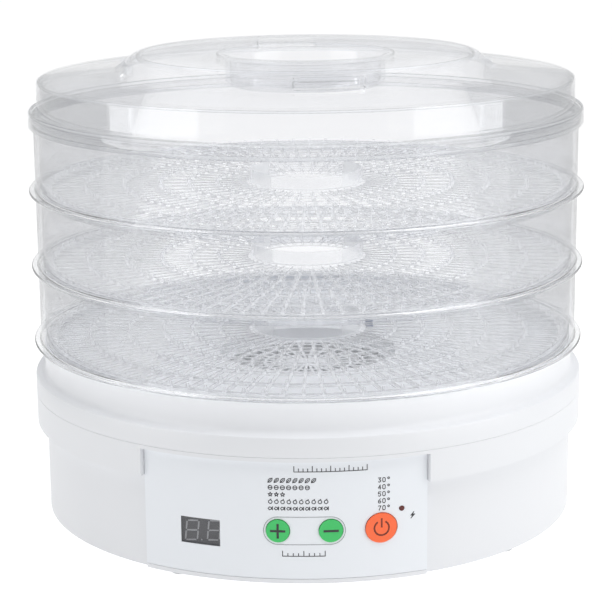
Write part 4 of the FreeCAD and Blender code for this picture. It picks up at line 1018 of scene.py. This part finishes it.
for tray in TRAY_NAMES:
    low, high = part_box(tray)
    seat = low.z / MM + SKIRT_DEPTH
    top = high.z / MM
    wall = turned([
        (TRAY_IN, seat), (TRAY_IN, top - 0.8), (TRAY_IN + 0.6, top), (TRAY_OUT - 0.4, top),
        (TRAY_OUT, top - 0.6), (TRAY_OUT, seat), (SKIRT_OUT, seat),
        (SKIRT_OUT - 0.2, seat - SKIRT_DEPTH), (SKIRT_IN, seat - SKIRT_DEPTH), (SKIRT_IN, seat),
    ])
    flange = turned([
        (TRAY_OUT + 0.02, seat), (TRAY_OUT + 0.02, seat + 2.2), (TRAY_OUT + 0.7, seat + 1.6),
        (FLANGE - 0.5, seat + 1.6), (FLANGE, seat + 1.1), (FLANGE, seat + 0.4), (FLANGE - 0.4, seat),
    ])
    piece(f"{tray}_flange", flange, clear_rim, tray, slot="clear_plastic")
    piece(f"{tray}_wall", wall, clear, tray, tray, slot="clear_plastic")
    grid = piece(f"{tray}_grid", floor_grid(seat), clear_detail, tray, slot="clear_plastic")
    thicken = grid.modifiers.new("thickness", "SOLIDIFY")
    thicken.thickness = FLOOR * MM
    thicken.offset = 1.0
    piece(f"{tray}_pins", floor_pins(seat + FLOOR), clear_detail, tray, slot="clear_plastic")
    piece(f"{tray}_skirt_ribs", skirt_ribs(seat), clear_skirt, tray, slot="clear_plastic")
    chimney = turned([
        (CHIMNEY - 1.6, seat + FLOOR + 0.1), (CHIMNEY - 1.6, seat + 9.2), (CHIMNEY - 1.3, seat + 9.5),
        (CHIMNEY - 0.3, seat + 9.5), (CHIMNEY, seat + 9.2), (CHIMNEY, seat + FLOOR + 0.1),
    ], steps=72)
    piece(f"{tray}_chimney", chimney, clear_detail, tray, slot="clear_plastic")

# ------------------------------------------------------------------ the lid
# One clear moulding: a band over the top tray, a side, a low cone, a raised middle with
# four air slots in its flared wall, and a round well to grip it by.

lid_low, lid_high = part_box("lid")
LID_TOP = lid_high.z / MM
LID_SEAT = lid_low.z / MM + 5.4
LID_BAND = lid_high.x / MM
LID_SIDE = BODY - 0.5
LID_WALL = 2.4
STEP_FOOT = (110.0, LID_TOP - 9.1)
STEP_TOP = (98.0, LID_TOP)


def on_step(level):
    """The point of the flared wall at a height."""
    share = (level - STEP_FOOT[1]) / (STEP_TOP[1] - STEP_FOOT[1])
    return (STEP_FOOT[0] + (STEP_TOP[0] - STEP_FOOT[0]) * share, level)


LID_SIDE_STARTS = 0.15
clear_lid = clear_finish("clear_lid")
lid_edge = clear_lid.join("POWER", clear_lid.facing, 10)
across, along = [
    clear_lid.node("ShaderNodeSeparateXYZ", {}, {"Vector": clear_lid.where()}, word)
    for word in ("X", "Y")]
# Painted shade: the lid's surface is darker where it is seen edge-on, and its upright side, beyond
# LID_SIDE_STARTS from the axis, gets a darker reflection and a little more opacity than its top.
upright = across * across + along * along > LID_SIDE_STARTS ** 2
clear_lid.surface(
    Base_Color=clear_lid.blend(
        clear_lid.join("MAXIMUM", lid_edge, upright * 0.7),
        (0.97, 0.972, 0.98, 1), (0.45, 0.46, 0.47, 1)),
    Roughness=0.03 + clear_lid.haze * 0.03,
    Metallic=0.96 + clear_lid.haze * 0.04,
    Normal=clear_lid.bump(clear_lid.noise(35, 1.0), 0.0004, 0.06),
)
veil(clear_lid, (0.976, 0.977, 0.981, 1),
     clear_lid.gloss * 0.4 + lid_edge * 0.3 + upright * 0.03)

SLOT_LOW = STEP_FOOT[1] + 0.4
SLOT_HIGH = SLOT_LOW + 4.6
LID_STEPS = 180
SLOT_HALF = math.radians(10.0)
SLOT_TURNS = [math.radians(12 + 90 * index) for index in range(4)]
outline = [
    (LID_BAND, LID_SEAT - 5.4), (LID_BAND, LID_SEAT + 2.2), (LID_BAND - 0.8, LID_SEAT + 3.0),
    (LID_SIDE + 0.6, LID_SEAT + 3.0), (LID_SIDE, LID_SEAT + 3.6), (LID_SIDE, LID_SEAT + 4.2),
    (LID_SIDE, LID_SEAT + 17.8), (LID_SIDE, LID_SEAT + 18.4),
    (LID_SIDE - 0.5, LID_SEAT + 19.6), (LID_SIDE - 1.8, LID_SEAT + 20.3),
    STEP_FOOT, on_step(SLOT_LOW), on_step(SLOT_HIGH), on_step(LID_TOP - 1.0),
    (STEP_TOP[0] - 1.2, LID_TOP), (50.8, LID_TOP), (48.0, LID_TOP - 0.5), (45.2, LID_TOP - 1.6),
    (43.5, LID_TOP - 4.0), (43.5, LID_TOP - 15.4), (42.5, LID_TOP - 16.4), (0, LID_TOP - 16.4),
]
bm = bmesh.new()
line = [bm.verts.new((0, -radius * MM, height * MM)) for radius, height in outline]
line_edges = [bm.edges.new(pair) for pair in zip(line, line[1:])]
bmesh.ops.spin(bm, geom=line + line_edges, axis=(0, 0, 1), cent=(0, 0, 0), angle=math.tau,
               steps=LID_STEPS, use_merge=True)
bmesh.ops.remove_doubles(bm, verts=bm.verts, dist=1e-6)
bmesh.ops.recalc_face_normals(bm, faces=bm.faces)


def in_slot(face):
    """True for a face of the flared wall that an air slot takes away."""
    spot = face.calc_center_median()
    turn = math.atan2(spot.x, -spot.y)
    level = spot.z / MM
    return SLOT_LOW < level < SLOT_HIGH and any(
        abs((turn - middle + math.pi) % math.tau - math.pi) < SLOT_HALF for middle in SLOT_TURNS)


bmesh.ops.delete(bm, geom=[face for face in bm.faces if in_slot(face)], context="FACES_ONLY")
lid = piece("lid_moulding", bm, clear_lid, "lid", "lid", slot="clear_plastic")
thicken = lid.modifiers.new("thickness", "SOLIDIFY")
thicken.thickness = LID_WALL * MM
thicken.offset = -1.0
thicken.use_even_offset = True


def edge_ring(radius, level, size=1.1, steps=LID_STEPS):
    """A small full edge, turned round the axis, for the thick rims of the moulding."""
    half = size / 2
    return turned([(radius - half, level - half), (radius + half, level - half),
                   (radius + half, level + half), (radius - half, level + half)], steps=steps)


rims = joined(
    turned([(LID_BAND - 2.3, LID_SEAT - 5.3), (LID_BAND - 0.1, LID_SEAT - 5.3),
            (LID_BAND - 0.1, LID_SEAT - 3.2), (LID_BAND - 2.3, LID_SEAT - 3.2)]),
    edge_ring(LID_BAND - 1.2, LID_SEAT + 2.3),
    edge_ring(LID_SIDE - 1.6, LID_SEAT + 18.6, 1.3),
    edge_ring(STEP_TOP[0] - 1.8, LID_TOP - 1.3, 1.2),
    edge_ring(50.6, LID_TOP - 1.3, 1.1, 96),
    edge_ring(42.6, LID_TOP - 15.6, 1.2, 96),
)
for middle in SLOT_TURNS:
    for side in (-1, 1):
        rims = joined(rims, brick(middle + side * (SLOT_HALF + 0.004), 101.0, 106.5, 0.8,
                                  SLOT_LOW, SLOT_HIGH + 0.6))
piece("lid_rims", rims, clear_rim, "lid", slot="clear_plastic")
